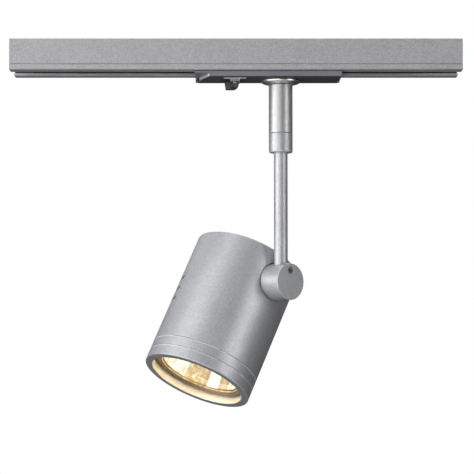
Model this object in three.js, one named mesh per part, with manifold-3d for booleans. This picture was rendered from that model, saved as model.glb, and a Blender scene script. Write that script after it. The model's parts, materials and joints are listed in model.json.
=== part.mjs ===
// Track spotlight: a swivelling, tilting lamp head on a stem, held by an adapter in a length of
// single-circuit lighting track.
// Millimetres, +Z up. The origin is the centre of the track's top face, above the stem's axis.
// +X runs along the track and +Y points to its rear side.
import * as THREE from "three";
import { mergeVertices } from "three/addons/utils/BufferGeometryUtils.js";
import Module from "manifold-3d";

const wasm = await Module();
wasm.setup();

// ---------------------------------------------------------------- driving dimensions
const GAP = 0.3; // clearance kept between neighbouring pieces
const GAUGE = 0.5; // spring strip thickness

const TRACK = {
  left: -156, right: 104, width: 35, height: 18, wall: 1.6, web: 1.8,
  slot: 15, edge: 1, grooveZ: -14.9, groove: 0.5,
};
const LIP_TOP = -TRACK.height + TRACK.wall;
const INSERT = { inner: 11.9, pocket: 13.4, mouthTop: -7.0, mouthBottom: -11.0 };
const EARTH_STRIP = { half: 3, top: -TRACK.web - GAP, thickness: 0.8 };

const ADAPTER = {
  left: -49.7, right: 34.8, half: 15.2, top: -18.3, skirt: -21.2, bottom: -21.6, wall: 1.1,
  plateTop: -19.7,
};
const TRUNK = { left: -41, right: 28, half: 6.9, top: -5.6, wall: 1.1, cover: 0.8 };
// The adapter's cut corner, in plan. The base plate is cut back further than the housing.
const NOTCH = { front: -40.6, back: -47.8, backY: 7, plateShift: 1.6 };
const PAD = { radius: 12.5, height: 0.5 };
const LEVER = {
  x: -26.6, shaft: 2.6, spigot: 1.5, reach: 12.7, leg: 5.5, bar: 12.7, barDepth: 1.6, tail: 8.6,
};
const LEVER_ARM = { top: ADAPTER.bottom - GAP, thickness: 0.5, rib: 0.7, ribHeight: 0.5 };
// The thumb grip seen from the front: a slanted left side and a rounded right side, with a hollow.
const GRIP = {
  left: -6, foot: -5.4, middle: -1.8, sweep: 4, front: -3, back: 4, top: -23.6, bottom: -27.3,
  hollow: 2.2, hollowX: -0.9, hollowY: -4.2, hollowZ: -25.4, roof: 1.8,
};
const CAM = { half: 11.3, width: 7.2, top: -13.4, bottom: -15.9 };
const ROTOR = { radius: 5.2, top: -6.2, bottom: -13.1 };
const BLADE = { half: 1.7, top: -7.7, bottom: -10.3, root: 3.9, tip: 11.6 };
// The openings in the trunk's sides that the cam and the blades turn out through.
const WINDOW = { half: 10.6, bottom: LIP_TOP + 0.1, top: ROTOR.top - 0.6 };
const TERMINAL = {
  left: -14.4, right: -8, half: 5.2, top: -7, bottom: -14,
  hole: 1.7, depth: 3, screw: 1.4, screwTop: -6.6, slot: 0.5,
};
const CONTACT_WIRE = { spacing: 2.4, z: -11.8 }; // below the blades, so that they turn clear

const NIPPLE = { radius: 4, bore: 2.7 }; // M8 hollow nipples
const SWIVEL_NUT = { flats: 11.4, top: -14.6, nippleTop: -13.9 };
const LEAD = 1.7; // radius of the sheathed lead
const WIRE = 0.8; // radius of one insulated core

// The corner spring's line in plan, from the adapter's front to its back.
const SPRING_LINE = [[-41.7, -14.9], [-43.5, -9.4], [-46.0, -1.2], [-47.3, 4.4]];
// One half of the retaining clip's section in (Y, Z): down its outside, round the toe and up its inside.
const CLIP = { left: 17, right: 25, crown: TRUNK.top + 2, leg: 7.4, knee: -10.5, toe: -15.7, foot: 1 };
const CLIP_SHOULDER = { y: 10.2, z: -14.2, strip: 0.7 };
// The earth contact's strip in (X, Z): flat feet and a raised crest under the track's earth strip.
const EARTH_CONTACT = { left: 3, right: 15, half: 2.5, strip: 0.4, crest: 9, crestHalf: 0.5, rise: 3 };

const SLEEVE = { radius: 6.93, top: -24.7, bottom: -52.7, chamber: 5.7, chamberTop: -42.3 };
const ROSETTE = { radius: 11.4, top: -22.4, bottom: -24.4, edge: 1.2, flat: 9.6, crown: 0.15 };
const COLLAR = { bottom: -64.2, spigot: 5.4, spigotTop: -44.4, socketTop: -56.5, chamfer: 0.5 };
const CIRCLIP = { top: -48.6, bottom: -49.2, inner: 4.9, outer: 6.2, mouth: 30 }; // mouth in degrees
// A pin in the collar's spigot meets a lug inside the sleeve.
const SWIVEL_STOP = { orbit: 4.05, pin: 0.6, sunk: 2.1, proud: 1.3, lug: 0.4, lugInner: 3.4 };

const STEM = { radius: 3.98, bore: 2.9, top: -56.8 };
const PIVOT_Z = -139.1;
const SWIVEL = 42.6; // degrees, the knuckle's axis about the stem at rest
const TILT = 29.7; // degrees, the head away from straight down at rest
const TILT_LIMIT = 90; // degrees, to either side of straight down

const BARREL = { radius: 10.6, inner: -6.2, outer: 8.17, chamfer: 0.4, socket: 4.6 };
const GRUB = { height: 6.6, radius: 1.6, inner: 4.4, outer: 7.8, hex: 0.9, hexDepth: 1.4 };
const TILT_STOP = { orbit: 7.5, pin: 0.7, inner: -8.0, outer: -3.8 };
const PIVOT_NIPPLE = { inner: -16, outer: -2.6 };
const LEAD_CUT = -16.9; // on the tilt axis, where the lead passes from the stem to the head
const LOCKNUT = { flats: 13, inner: -15.2, outer: -12 };
const WAVE_WASHER = { radius: 7.5, inner: -11.7, outer: -11 };

const HEAD = {
  radius: 32.03, wall: 2.2, top: -17, topWall: 3, rim: 66, seam: 53.3, spigotEnd: 60, offset: 36.7,
  edge: 1,
};
const RECESS = { flat: -6.5, radius: 11.3, pad: -9.5, padRadius: 9.5 };
const FRICTION_WASHER = { radius: 8, inner: -10.7, outer: -9.8 };
const VENT = { first: 13.1, pitch: 7, count: 3, width: 1.9, halfSpan: 71 }; // span in degrees
const RING = { groove: 59.4, grooveWidth: 0.6, grooveDepth: 0.5, bore: 27.65, web: 60.4, skirt: 30.9 };
const RETAINER = { inner: 23.9, outer: 27.3, front: 61.3, thickness: 0.8 };
const LAMP = { front: 60.1, radius: 25, lip: 2.8, neck: 6.2, baseTop: 29.3, baseBottom: 16.4 };
const LAMP_BASE = { radius: 11.2, foot: 9.6, taper: 8.9, well: 5.4, wellDepth: 5 };
// The reflector's wall lies between two elliptical bowls, each given by its mouth, its depth and
// the angle below the mouth where it stops.
const BOWL = {
  inner: 23.3, innerMouth: 58.4, innerDepth: 27.6, outer: 24.2, outerMouth: 55.8, outerDepth: 30,
  innerEnd: -74.6, outerEnd: -59,
};
const GLASS = { radius: 24, back: 58.7, front: 59.9, seat: 24.3 };
const CAPSULE = { radius: 5, shoulder: 42, nose: 4 };
const PIN = { orbit: 5, shank: 1.6, shoulder: 12.1, head: 2.4, rounding: 9.7, tip: 1.9, end: 9.2 };
const LAMP_TWIST = 25; // degrees from locked to released
const HOLDER = { radius: 14.5, bottom: 3, top: 15.9 };
const HOLDER_SLOT = { floor: 8.6, margin: 33 }; // degrees of arc beyond the pins' centres
const BRACKET = { half: 7, plate: 19, thickness: 1.5, foot: 26, footTop: -10.7, hole: 6 };
const SCREW = {
  shank: 1.4, hole: 1.7, head: 2.7, crown: 1.8, height: 2, slot: 0.6, boss: 3, bossHeight: 1.5,
};
const BRACKET_SCREW_Y = 22.8;
const EARTH_SCREW_X = -12;

// ---------------------------------------------------------------- solids
// A geometry's surface as a manifold solid.
function toSolid(geometry) {
  const bare = geometry.clone();
  bare.deleteAttribute("normal");
  bare.deleteAttribute("uv");
  const merged = mergeVertices(bare, 1e-4);
  return new wasm.Manifold(new wasm.Mesh({
    numProp: 3,
    vertProperties: merged.attributes.position.array,
    triVerts: new Uint32Array(merged.index.array),
  }));
}

// A manifold solid as a flat-shaded geometry.
function toGeometry(solid) {
  const { vertProperties, triVerts } = solid.getMesh();
  const indexed = new THREE.BufferGeometry();
  indexed.setAttribute("position", new THREE.BufferAttribute(vertProperties, 3));
  indexed.setIndex(new THREE.BufferAttribute(triVerts, 1));
  const flat = indexed.toNonIndexed();
  flat.computeVertexNormals();
  return flat;
}

// Cutting tools overrun the material they cut, so that no skin is left.
function cut(body, ...tools) {
  return toGeometry(tools.reduce((solid, tool) => solid.subtract(toSolid(tool)), toSolid(body)));
}

function join(body, ...others) {
  return toGeometry(others.reduce((solid, other) => solid.add(toSolid(other)), toSolid(body)));
}

function common(body, other) {
  return toGeometry(toSolid(body).intersect(toSolid(other)));
}

function box(x0, x1, y0, y1, z0, z1) {
  const block = new THREE.BoxGeometry(x1 - x0, y1 - y0, z1 - z0);
  return block.translate((x0 + x1) / 2, (y0 + y1) / 2, (z0 + z1) / 2);
}

// A profile of [radius, height] pairs turned about Z. It closes on itself unless it ends on the axis.
function turned(profile, segments = 20) {
  const points = profile.map(([radius, height]) => new THREE.Vector2(radius, height));
  if (points[0].x > 0) points.push(points[0].clone());
  if (THREE.ShapeUtils.area(points) < 0) points.reverse();
  return new THREE.LatheGeometry(points, segments).rotateX(Math.PI / 2);
}

function rod(radius, z0, z1, segments = 20) {
  return turned([[0, z0], [radius, z0], [radius, z1], [0, z1]], segments);
}

function ring(inner, outer, z0, z1, segments = 20) {
  return turned([[inner, z0], [outer, z0], [outer, z1], [inner, z1]], segments);
}

// A closed outline of [x, y] pairs extruded from z0 to z1.
function plate(outline, z0, z1) {
  const shape = new THREE.Shape(outline.map(([x, y]) => new THREE.Vector2(x, y)));
  const solid = new THREE.ExtrudeGeometry(shape, { depth: z1 - z0, bevelEnabled: false });
  return solid.translate(0, 0, z0);
}

// Points on an arc, in degrees, about a centre.
function arc(radius, from, to, steps, cx = 0, cy = 0) {
  return Array.from({ length: steps + 1 }, (_, i) => {
    const angle = THREE.MathUtils.degToRad(from + ((to - from) * i) / steps);
    return [cx + radius * Math.cos(angle), cy + radius * Math.sin(angle)];
  });
}

// A sector of a ring about Z, between two angles in degrees.
function sector(inner, outer, from, to, z0, z1, steps = 16) {
  return plate([...arc(outer, from, to, steps), ...arc(inner, to, from, steps)], z0, z1);
}

// A six-sided prism about Z, by its width across flats.
function hexagon(flats, z0, z1) {
  return rod(flats / Math.sqrt(3), z0, z1, 6);
}

// A hexagon nut with a round bore and two of its flats facing along Y.
function nut(flats, bore, z0, z1) {
  return cut(hexagon(flats, z0, z1).rotateZ(Math.PI / 6), rod(bore, z0 - 1, z1 + 1));
}

// A round lead or wire through hand-placed [x, y, z] points.
function cable(points, radius, steps, sides = 8) {
  const path = new THREE.CatmullRomCurve3(points.map((point) => new THREE.Vector3(...point)));
  const outline = arc(radius, 0, 360, sides).slice(0, -1);
  const section = new THREE.Shape(outline.map((point) => new THREE.Vector2(...point)));
  return new THREE.ExtrudeGeometry(section, { steps, extrudePath: path });
}

// Turns a solid made about Z so that its axis lies along X.
function alongX(geometry) {
  return geometry.rotateY(Math.PI / 2);
}

// An outline in (Y, Z) extruded along X.
function extrusion(outline, x0, x1) {
  const axes = new THREE.Matrix4().makeBasis(
    new THREE.Vector3(0, 1, 0),
    new THREE.Vector3(0, 0, 1),
    new THREE.Vector3(1, 0, 0),
  );
  return plate(outline, x0, x1).applyMatrix4(axes);
}

// An outline in (X, Z) extruded along Y.
function sideExtrusion(outline, y0, y1) {
  return plate(outline, -y1, -y0).rotateX(Math.PI / 2);
}

function mirrored(half) {
  return [...half, ...half.map(([x, y]) => [-x, y]).reverse()];
}

// ---------------------------------------------------------------- materials
const finish = {
  silverPaint: { color: 0x9a9ca1, roughness: 0.48, metalness: 0.55 },
  trackPaint: { color: 0xa9a8ac, roughness: 0.5, metalness: 0.5 },
  greyPlastic: { color: 0x7c8086, roughness: 0.55, metalness: 0.0 },
  darkPlastic: { color: 0x4a4a4c, roughness: 0.6, metalness: 0.0 },
  blackPlastic: { color: 0x242425, roughness: 0.6, metalness: 0.0 },
  lightPlastic: { color: 0xb2b2b6, roughness: 0.5, metalness: 0.0 },
  whitePlastic: { color: 0xd8d8d2, roughness: 0.6, metalness: 0.0 },
  polishedNickel: { color: 0xdedcd8, roughness: 0.15, metalness: 1.0 },
  nickel: { color: 0xc9c5bb, roughness: 0.28, metalness: 1.0 },
  steel: { color: 0xb4b6b8, roughness: 0.32, metalness: 1.0 },
  blackSteel: { color: 0x2c2c2e, roughness: 0.4, metalness: 0.9 },
  brass: { color: 0xc9a452, roughness: 0.35, metalness: 1.0 },
  copper: { color: 0xc07a4e, roughness: 0.38, metalness: 1.0 },
  fibre: { color: 0x3a3330, roughness: 0.9, metalness: 0.0 },
  ceramic: { color: 0xe9e4da, roughness: 0.2, metalness: 0.0 },
  bronzeRing: { color: 0x8b6b4a, roughness: 0.4, metalness: 0.8 },
  mirror: { color: 0xf2e2b8, roughness: 0.1, metalness: 1.0 },
  glass: { color: 0xf4f6f6, roughness: 0.05, metalness: 0.0 },
  quartz: { color: 0xffd98a, roughness: 0.1, metalness: 0.0 },
  leadSheath: { color: 0xe6e3dc, roughness: 0.6, metalness: 0.0 },
  liveWire: { color: 0x6b3f26, roughness: 0.55, metalness: 0.0 },
  neutralWire: { color: 0x2e5c9a, roughness: 0.55, metalness: 0.0 },
  earthWire: { color: 0x7fa037, roughness: 0.55, metalness: 0.0 },
};

const spotlight = new THREE.Group();

function add(parent, name, geometry, material) {
  const mesh = new THREE.Mesh(geometry, new THREE.MeshStandardMaterial(finish[material]));
  mesh.name = name;
  parent.add(mesh);
  return mesh;
}

// ---------------------------------------------------------------- track
function trackOutline() {
  const side = TRACK.width / 2;
  const inner = side - TRACK.wall;
  const base = -TRACK.height;
  const corner = arc(TRACK.edge, 0, -90, 4, side - TRACK.edge, base + TRACK.edge);
  return mirrored([
    [side, 0],
    [side, TRACK.grooveZ + TRACK.groove],
    [side - TRACK.groove, TRACK.grooveZ + TRACK.groove],
    [side - TRACK.groove, TRACK.grooveZ],
    [side, TRACK.grooveZ],
    ...corner,
    [TRACK.slot / 2, base],
    [TRACK.slot / 2, LIP_TOP],
    [inner, LIP_TOP],
    [inner, -TRACK.web],
  ]);
}

// One insulating strip: a channel whose mouth faces the middle of the track.
function insertOutline(sign) {
  const outer = TRACK.width / 2 - TRACK.wall - GAP;
  const points = [
    [INSERT.inner, -TRACK.web - GAP],
    [INSERT.inner, INSERT.mouthTop],
    [INSERT.pocket, INSERT.mouthTop],
    [INSERT.pocket, INSERT.mouthBottom],
    [INSERT.inner, INSERT.mouthBottom],
    [INSERT.inner, LIP_TOP + GAP],
    [outer, LIP_TOP + GAP],
    [outer, -TRACK.web - GAP],
  ];
  return points.map(([y, z]) => [sign * y, z]);
}

function conductor(sign) {
  const setBack = 0.2; // the bar's face behind the insert's
  const near = INSERT.inner + setBack;
  const far = INSERT.pocket - GAP;
  const bottom = INSERT.mouthBottom + GAP;
  const top = INSERT.mouthTop - GAP;
  const [y0, y1] = sign > 0 ? [near, far] : [-far, -near];
  return box(TRACK.left, TRACK.right, y0, y1, bottom, top);
}

function buildTrack() {
  const earthBottom = EARTH_STRIP.top - EARTH_STRIP.thickness;
  add(spotlight, "track_profile", extrusion(trackOutline(), TRACK.left, TRACK.right), "trackPaint");
  add(spotlight, "insert_front", extrusion(insertOutline(-1), TRACK.left, TRACK.right), "blackPlastic");
  add(spotlight, "insert_rear", extrusion(insertOutline(1), TRACK.left, TRACK.right), "blackPlastic");
  add(spotlight, "live_conductor", conductor(-1), "copper");
  add(spotlight, "neutral_conductor", conductor(1), "copper");
  const strip = box(
    TRACK.left, TRACK.right, -EARTH_STRIP.half, EARTH_STRIP.half, earthBottom, EARTH_STRIP.top,
  );
  add(spotlight, "earth_strip", strip, "copper");
}

// ---------------------------------------------------------------- adapter
// The corner that the notch takes off, in plan, moved along X.
function notchTool(shift, z0, z1) {
  const slope = (NOTCH.back - NOTCH.front) / (NOTCH.backY + ADAPTER.half);
  const over = 1;
  const outside = ADAPTER.left - over;
  const edge = (y) => NOTCH.front + slope * (y + ADAPTER.half) + shift;
  return plate([
    [outside, -ADAPTER.half - over],
    [edge(-ADAPTER.half - over), -ADAPTER.half - over],
    [edge(NOTCH.backY), NOTCH.backY],
    [outside, NOTCH.backY],
  ], z0, z1);
}

function adapterHousing() {
  const { left, right, half, top, skirt, bottom, wall } = ADAPTER;
  const floor = top - wall;
  const tray = cut(
    box(left, right, -half, half, skirt, top),
    box(left + wall, right - wall, -half + wall, half - wall, bottom - 1, floor),
    notchTool(0, bottom - 1, floor),
  );
  const trunk = box(TRUNK.left, TRUNK.right, -TRUNK.half, TRUNK.half, floor, TRUNK.top);
  const inside = TRUNK.half - TRUNK.wall;
  const cavity = box(
    TRUNK.left + TRUNK.wall, TRUNK.right - TRUNK.wall, -inside, inside, top, TRUNK.top + 1,
  );
  const window = box(
    LEVER.x - WINDOW.half, LEVER.x + WINDOW.half, -half, half, WINDOW.bottom, WINDOW.top,
  );
  const nippleHole = rod(NIPPLE.radius + GAP, bottom, top + 1);
  const shaftHole = rod(LEVER.shaft + GAP, bottom, top + 1, 20).translate(LEVER.x, 0, 0);
  return cut(join(tray, trunk), cavity, window, nippleHole, shaftHole);
}

function basePlate() {
  const inset = ADAPTER.wall + GAP;
  const body = box(
    ADAPTER.left + inset, ADAPTER.right - inset, -ADAPTER.half + inset, ADAPTER.half - inset,
    ADAPTER.bottom, ADAPTER.plateTop,
  );
  const pad = rod(PAD.radius, ADAPTER.bottom - PAD.height, ADAPTER.bottom + 1, 32);
  return cut(
    join(body, pad),
    notchTool(NOTCH.plateShift, ADAPTER.bottom - 1, ADAPTER.top),
    rod(NIPPLE.radius + GAP, ADAPTER.bottom - 2, ADAPTER.top),
    rod(LEVER.shaft + GAP, ADAPTER.bottom - 2, ADAPTER.top, 20).translate(LEVER.x, 0, 0),
  );
}

// A steel strip that fills the cut corner and presses against the track's lip.
function cornerSpring() {
  const slanted = GAUGE + 0.1; // the strip's width along X
  const lift = 0.2; // its lower edge above the adapter's
  const outline = [...SPRING_LINE, ...SPRING_LINE.map(([x, y]) => [x + slanted, y]).reverse()];
  return plate(outline, ADAPTER.bottom + lift, ADAPTER.top - ADAPTER.wall - GAP);
}

// A sprung clip over the trunk, whose shoulders rest above the track's lips.
function retainingClip() {
  const { left, right, crown, leg, knee, toe, foot } = CLIP;
  const half = 0.2; // half the strip's end face, in each direction
  const { y, z, strip } = CLIP_SHOULDER;
  const outline = mirrored([
    [leg + GAUGE, crown],
    [leg + GAUGE, knee],
    [y + strip, z],
    [leg + foot + half, toe - half],
    [leg + foot - half, toe + half],
    [y, z],
    [leg, knee],
    [leg, crown - GAUGE],
  ]);
  return extrusion(outline, left, right);
}

function earthContact() {
  const { left, right, half, strip, crest, crestHalf, rise } = EARTH_CONTACT;
  const base = TRUNK.top + GAP + TRUNK.cover + GAP;
  const top = EARTH_STRIP.top - EARTH_STRIP.thickness - GAP;
  return sideExtrusion([
    [left, base],
    [right, base],
    [right, base + strip],
    [crest + rise, base + strip],
    [crest + crestHalf, top],
    [crest - crestHalf, top],
    [crest - rise, base + strip],
    [left, base + strip],
  ], -half, half);
}

function terminalBlock() {
  const { left, right, half, top, bottom, hole, depth } = TERMINAL;
  const screwX = (left + right) / 2;
  const holes = [-1, 1].map((sign) =>
    rod(hole, top - depth, top + 1, 16).translate(screwX, (sign * half) / 2, 0));
  return cut(box(left, right, -half, half, bottom, top), ...holes);
}

function terminalScrew(sign) {
  const { left, right, half, top, depth, screw, screwTop, slot } = TERMINAL;
  const shank = rod(screw, top - depth + GAP, screwTop, 16);
  const groove = box(-2 * screw, 2 * screw, -slot / 2, slot / 2, screwTop - slot, screwTop + 1);
  return cut(shank, groove).translate((left + right) / 2, (sign * half) / 2, 0);
}

// The domed nickel rosette between the adapter and the sleeve.
function rosette() {
  const { radius, top, bottom, edge, flat, crown } = ROSETTE;
  const dome = arc(edge, 0, -80, 5, radius - edge, bottom + edge + crown);
  return turned([
    [NIPPLE.radius + GAP, top],
    [radius, top],
    ...dome,
    [flat, bottom],
    [NIPPLE.radius + GAP, bottom],
  ], 32);
}

// The outer sleeve of the swivel, with the chamber that the collar's spigot turns in.
function swivelSleeve() {
  const { radius, top, bottom, chamber, chamberTop } = SLEEVE;
  const groove = CIRCLIP.outer + 0.2;
  const body = turned([
    [NIPPLE.radius + GAP, top],
    [radius, top],
    [radius, bottom],
    [chamber, bottom],
    [chamber, CIRCLIP.bottom - GAP],
    [groove, CIRCLIP.bottom - GAP],
    [groove, CIRCLIP.top + GAP],
    [chamber, CIRCLIP.top + GAP],
    [chamber, chamberTop],
    [NIPPLE.radius + GAP, chamberTop],
  ], 28);
  const { lug: half, lugInner } = SWIVEL_STOP;
  const lug = box(
    -chamber - 0.2, -lugInner, -half, half, COLLAR.spigotTop + 0.5, chamberTop + 0.2,
  );
  return join(body, lug);
}

function buildAdapter() {
  const clearTop = TRUNK.top + GAP;
  add(spotlight, "adapter_housing", adapterHousing(), "greyPlastic");
  add(spotlight, "adapter_base_plate", basePlate(), "darkPlastic");
  const coverTop = clearTop + TRUNK.cover;
  const cover = box(TRUNK.left, TRUNK.right, -TRUNK.half, TRUNK.half, clearTop, coverTop);
  add(spotlight, "adapter_cover", cover, "greyPlastic");
  add(spotlight, "corner_spring", cornerSpring(), "steel");
  add(spotlight, "retaining_clip", retainingClip(), "steel");
  add(spotlight, "earth_contact", earthContact(), "brass");
  add(spotlight, "terminal_block", terminalBlock(), "whitePlastic");
  add(spotlight, "terminal_screw_live", terminalScrew(-1), "brass");
  add(spotlight, "terminal_screw_neutral", terminalScrew(1), "brass");
  for (const [name, sign, material] of [["live", -1, "liveWire"], ["neutral", 1, "neutralWire"]]) {
    const start = LEVER.x + ROTOR.radius + GAP;
    const wire = alongX(rod(WIRE, start, TERMINAL.left - GAP, 10));
    wire.translate(0, sign * CONTACT_WIRE.spacing, CONTACT_WIRE.z);
    add(spotlight, "contact_wire_" + name, wire, material);
  }
  const { flats, top: nutTop, nippleTop } = SWIVEL_NUT;
  add(spotlight, "swivel_nut", nut(flats, NIPPLE.radius + GAP, ADAPTER.top + GAP, nutTop), "steel");
  const nipple = ring(NIPPLE.bore, NIPPLE.radius, SLEEVE.chamberTop + GAP, nippleTop);
  add(spotlight, "swivel_nipple", nipple, "steel");
  add(spotlight, "rosette", rosette(), "polishedNickel");
  add(spotlight, "swivel_sleeve", swivelSleeve(), "nickel");
  const { inner, outer, mouth, bottom: clipBottom, top: clipTop } = CIRCLIP;
  const circlip = sector(inner, outer, mouth / 2, 360 - mouth / 2, clipBottom, clipTop, 24);
  add(spotlight, "swivel_circlip", circlip, "steel");
  const route = [
    [0, 0, SLEEVE.bottom],
    [0, 0, -40],
    [0, 0, -28],
    [0, 0, -16.5],
    [-1.2, 0, -12.2],
    [-4.2, 0, -10.5],
    [TERMINAL.right + GAP, 0, -10.3],
  ];
  add(spotlight, "adapter_lead", cable(route, LEAD, 24), "leadSheath");
}

// ---------------------------------------------------------------- locking lever
// The lever's arm is a T: a leg along Y and a bar near the adapter's front edge.
function leverArm() {
  const { reach, leg, bar, barDepth, tail } = LEVER;
  const low = LEVER_ARM.top - LEVER_ARM.thickness;
  const outline = mirrored([
    [leg / 2, tail],
    [leg / 2, barDepth - reach],
    [bar / 2, barDepth - reach],
    [bar / 2, -reach],
  ]);
  const { rib, ribHeight } = LEVER_ARM;
  const ridge = box(leg / 2 - rib, leg / 2, barDepth + GAP - reach, tail, low - ribHeight, low + 0.1);
  const otherRidge = ridge.clone().translate(rib - leg, 0, 0);
  const arm = join(plate(outline, low, LEVER_ARM.top), ridge, otherRidge);
  return cut(arm, rod(LEVER.spigot + GAP, low - 1, LEVER_ARM.top + 1, 16)).translate(LEVER.x, 0, 0);
}

// A thumb tab that hangs from the spigot.
function leverGrip() {
  const { left, foot, middle, sweep, front, back, top, bottom, hollow } = GRIP;
  const height = top - bottom;
  const curve = arc(1, -75, 0, 6).map(([x, z]) => [middle + sweep * x, top + height * z]);
  const tab = sideExtrusion([[left, top], [foot, bottom + 0.2], ...curve], front, back);
  const ball = new THREE.SphereGeometry(hollow, 16, 10);
  ball.translate(GRIP.hollowX, GRIP.hollowY, GRIP.hollowZ);
  const socket = rod(LEVER.spigot + GAP, bottom + GRIP.roof, top + 1, 16);
  return cut(tab, ball, socket).translate(LEVER.x, 0, 0);
}

// The shaft steps down to a spigot that the arm and the grip are pressed on.
function leverShaft() {
  const step = LEVER_ARM.top + GAP;
  const spigot = rod(LEVER.spigot, GRIP.bottom + GRIP.roof + GAP, step + 0.1, 16);
  return join(rod(LEVER.shaft, step, ROTOR.top + GAP, 20), spigot).translate(LEVER.x, 0, 0);
}

function lockingCam() {
  const end = CAM.width / 2;
  const straight = CAM.half - end;
  const outline = [...arc(end, 0, 180, 10, 0, straight), ...arc(end, 180, 360, 10, 0, -straight)];
  const blank = plate(outline, CAM.bottom, CAM.top);
  return cut(blank, rod(LEVER.shaft + GAP, CAM.bottom - 1, CAM.top + 1, 20)).translate(LEVER.x, 0, 0);
}

function contactRotor() {
  const slot = box(
    -BLADE.half - GAP, BLADE.half + GAP, BLADE.root - GAP, ROTOR.radius + 1,
    BLADE.bottom - GAP, BLADE.top + GAP,
  );
  const opposite = slot.clone().rotateZ(Math.PI);
  const bore = rod(LEVER.shaft + GAP, ROTOR.bottom - 1, ROTOR.top + 1, 20);
  const blank = rod(ROTOR.radius, ROTOR.bottom, ROTOR.top, 28);
  return cut(blank, bore, slot, opposite).translate(LEVER.x, 0, 0);
}

function contactBlade(angle) {
  const { half, root, tip, bottom, top } = BLADE;
  const outline = [[half, root], ...arc(half, 0, 180, 8, 0, tip - half), [-half, root]];
  return plate(outline, bottom, top).rotateZ(angle).translate(LEVER.x, 0, 0);
}

function buildLever() {
  add(spotlight, "lever_arm", leverArm(), "lightPlastic");
  add(spotlight, "lever_grip", leverGrip(), "darkPlastic");
  add(spotlight, "lever_shaft", leverShaft(), "steel");
  add(spotlight, "locking_cam", lockingCam(), "steel");
  add(spotlight, "contact_rotor", contactRotor(), "whitePlastic");
  add(spotlight, "live_blade", contactBlade(Math.PI), "copper");
  add(spotlight, "neutral_blade", contactBlade(0), "copper");
}

// ---------------------------------------------------------------- stem and knuckle
// The knuckle's frame: its Z is the tilt axis, away from the head, and its X points up.
const swivel = THREE.MathUtils.degToRad(SWIVEL);
const knuckleAxis = new THREE.Vector3(Math.sin(swivel), -Math.cos(swivel), 0);
const up = new THREE.Vector3(0, 0, 1);
const sideways = new THREE.Vector3().crossVectors(knuckleAxis, up);

function frameGroup(xAxis, yAxis, zAxis, origin) {
  const group = new THREE.Group();
  group.quaternion.setFromRotationMatrix(new THREE.Matrix4().makeBasis(xAxis, yAxis, zAxis));
  group.position.copy(origin);
  spotlight.add(group);
  return group;
}

function swivelCollar() {
  const { bottom, spigot, spigotTop, socketTop, chamfer } = COLLAR;
  const top = SLEEVE.bottom - GAP;
  const groove = CIRCLIP.inner - GAP;
  const socket = STEM.radius + GAP;
  const body = turned([
    [NIPPLE.bore, spigotTop],
    [spigot, spigotTop],
    [spigot, CIRCLIP.top + GAP],
    [groove, CIRCLIP.top + GAP],
    [groove, CIRCLIP.bottom - GAP],
    [spigot, CIRCLIP.bottom - GAP],
    [spigot, top],
    [SLEEVE.radius, top],
    [SLEEVE.radius, bottom + chamfer],
    [SLEEVE.radius - chamfer, bottom],
    [socket, bottom],
    [socket, socketTop],
    [NIPPLE.bore, socketTop],
  ], 28);
  const hole = rod(SWIVEL_STOP.pin + GAP, spigotTop - SWIVEL_STOP.sunk - GAP, spigotTop + 1, 12);
  return cut(body, hole.translate(SWIVEL_STOP.orbit, 0, 0));
}

function knuckleBarrel() {
  const { radius, inner, outer, chamfer, socket } = BARREL;
  const body = turned([
    [0, inner],
    [radius - chamfer, inner],
    [radius, inner + chamfer],
    [radius, outer - chamfer],
    [radius - chamfer, outer],
    [0, outer],
  ], 40);
  const stemSocket = alongX(rod(STEM.radius + GAP, socket, radius + 2));
  const passage = alongX(rod(NIPPLE.bore, -NIPPLE.bore, socket + 1));
  const wireway = rod(NIPPLE.bore, inner - 1, NIPPLE.bore);
  const nippleSocket = rod(NIPPLE.radius + GAP, inner - 1, PIVOT_NIPPLE.outer + GAP);
  const grubHole = rod(GRUB.radius + GAP, STEM.radius - 1, outer + 1, 16).translate(GRUB.height, 0, 0);
  const pinHole = rod(TILT_STOP.pin + GAP, inner - 1, TILT_STOP.outer + GAP, 12);
  pinHole.translate(-TILT_STOP.orbit, 0, 0);
  return cut(body, stemSocket, passage, wireway, nippleSocket, grubHole, pinHole);
}

function grubScrew() {
  const socket = hexagon(2 * GRUB.hex, GRUB.outer - GRUB.hexDepth, GRUB.outer + 1);
  return cut(rod(GRUB.radius, GRUB.inner, GRUB.outer, 16), socket).translate(GRUB.height, 0, 0);
}

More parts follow.
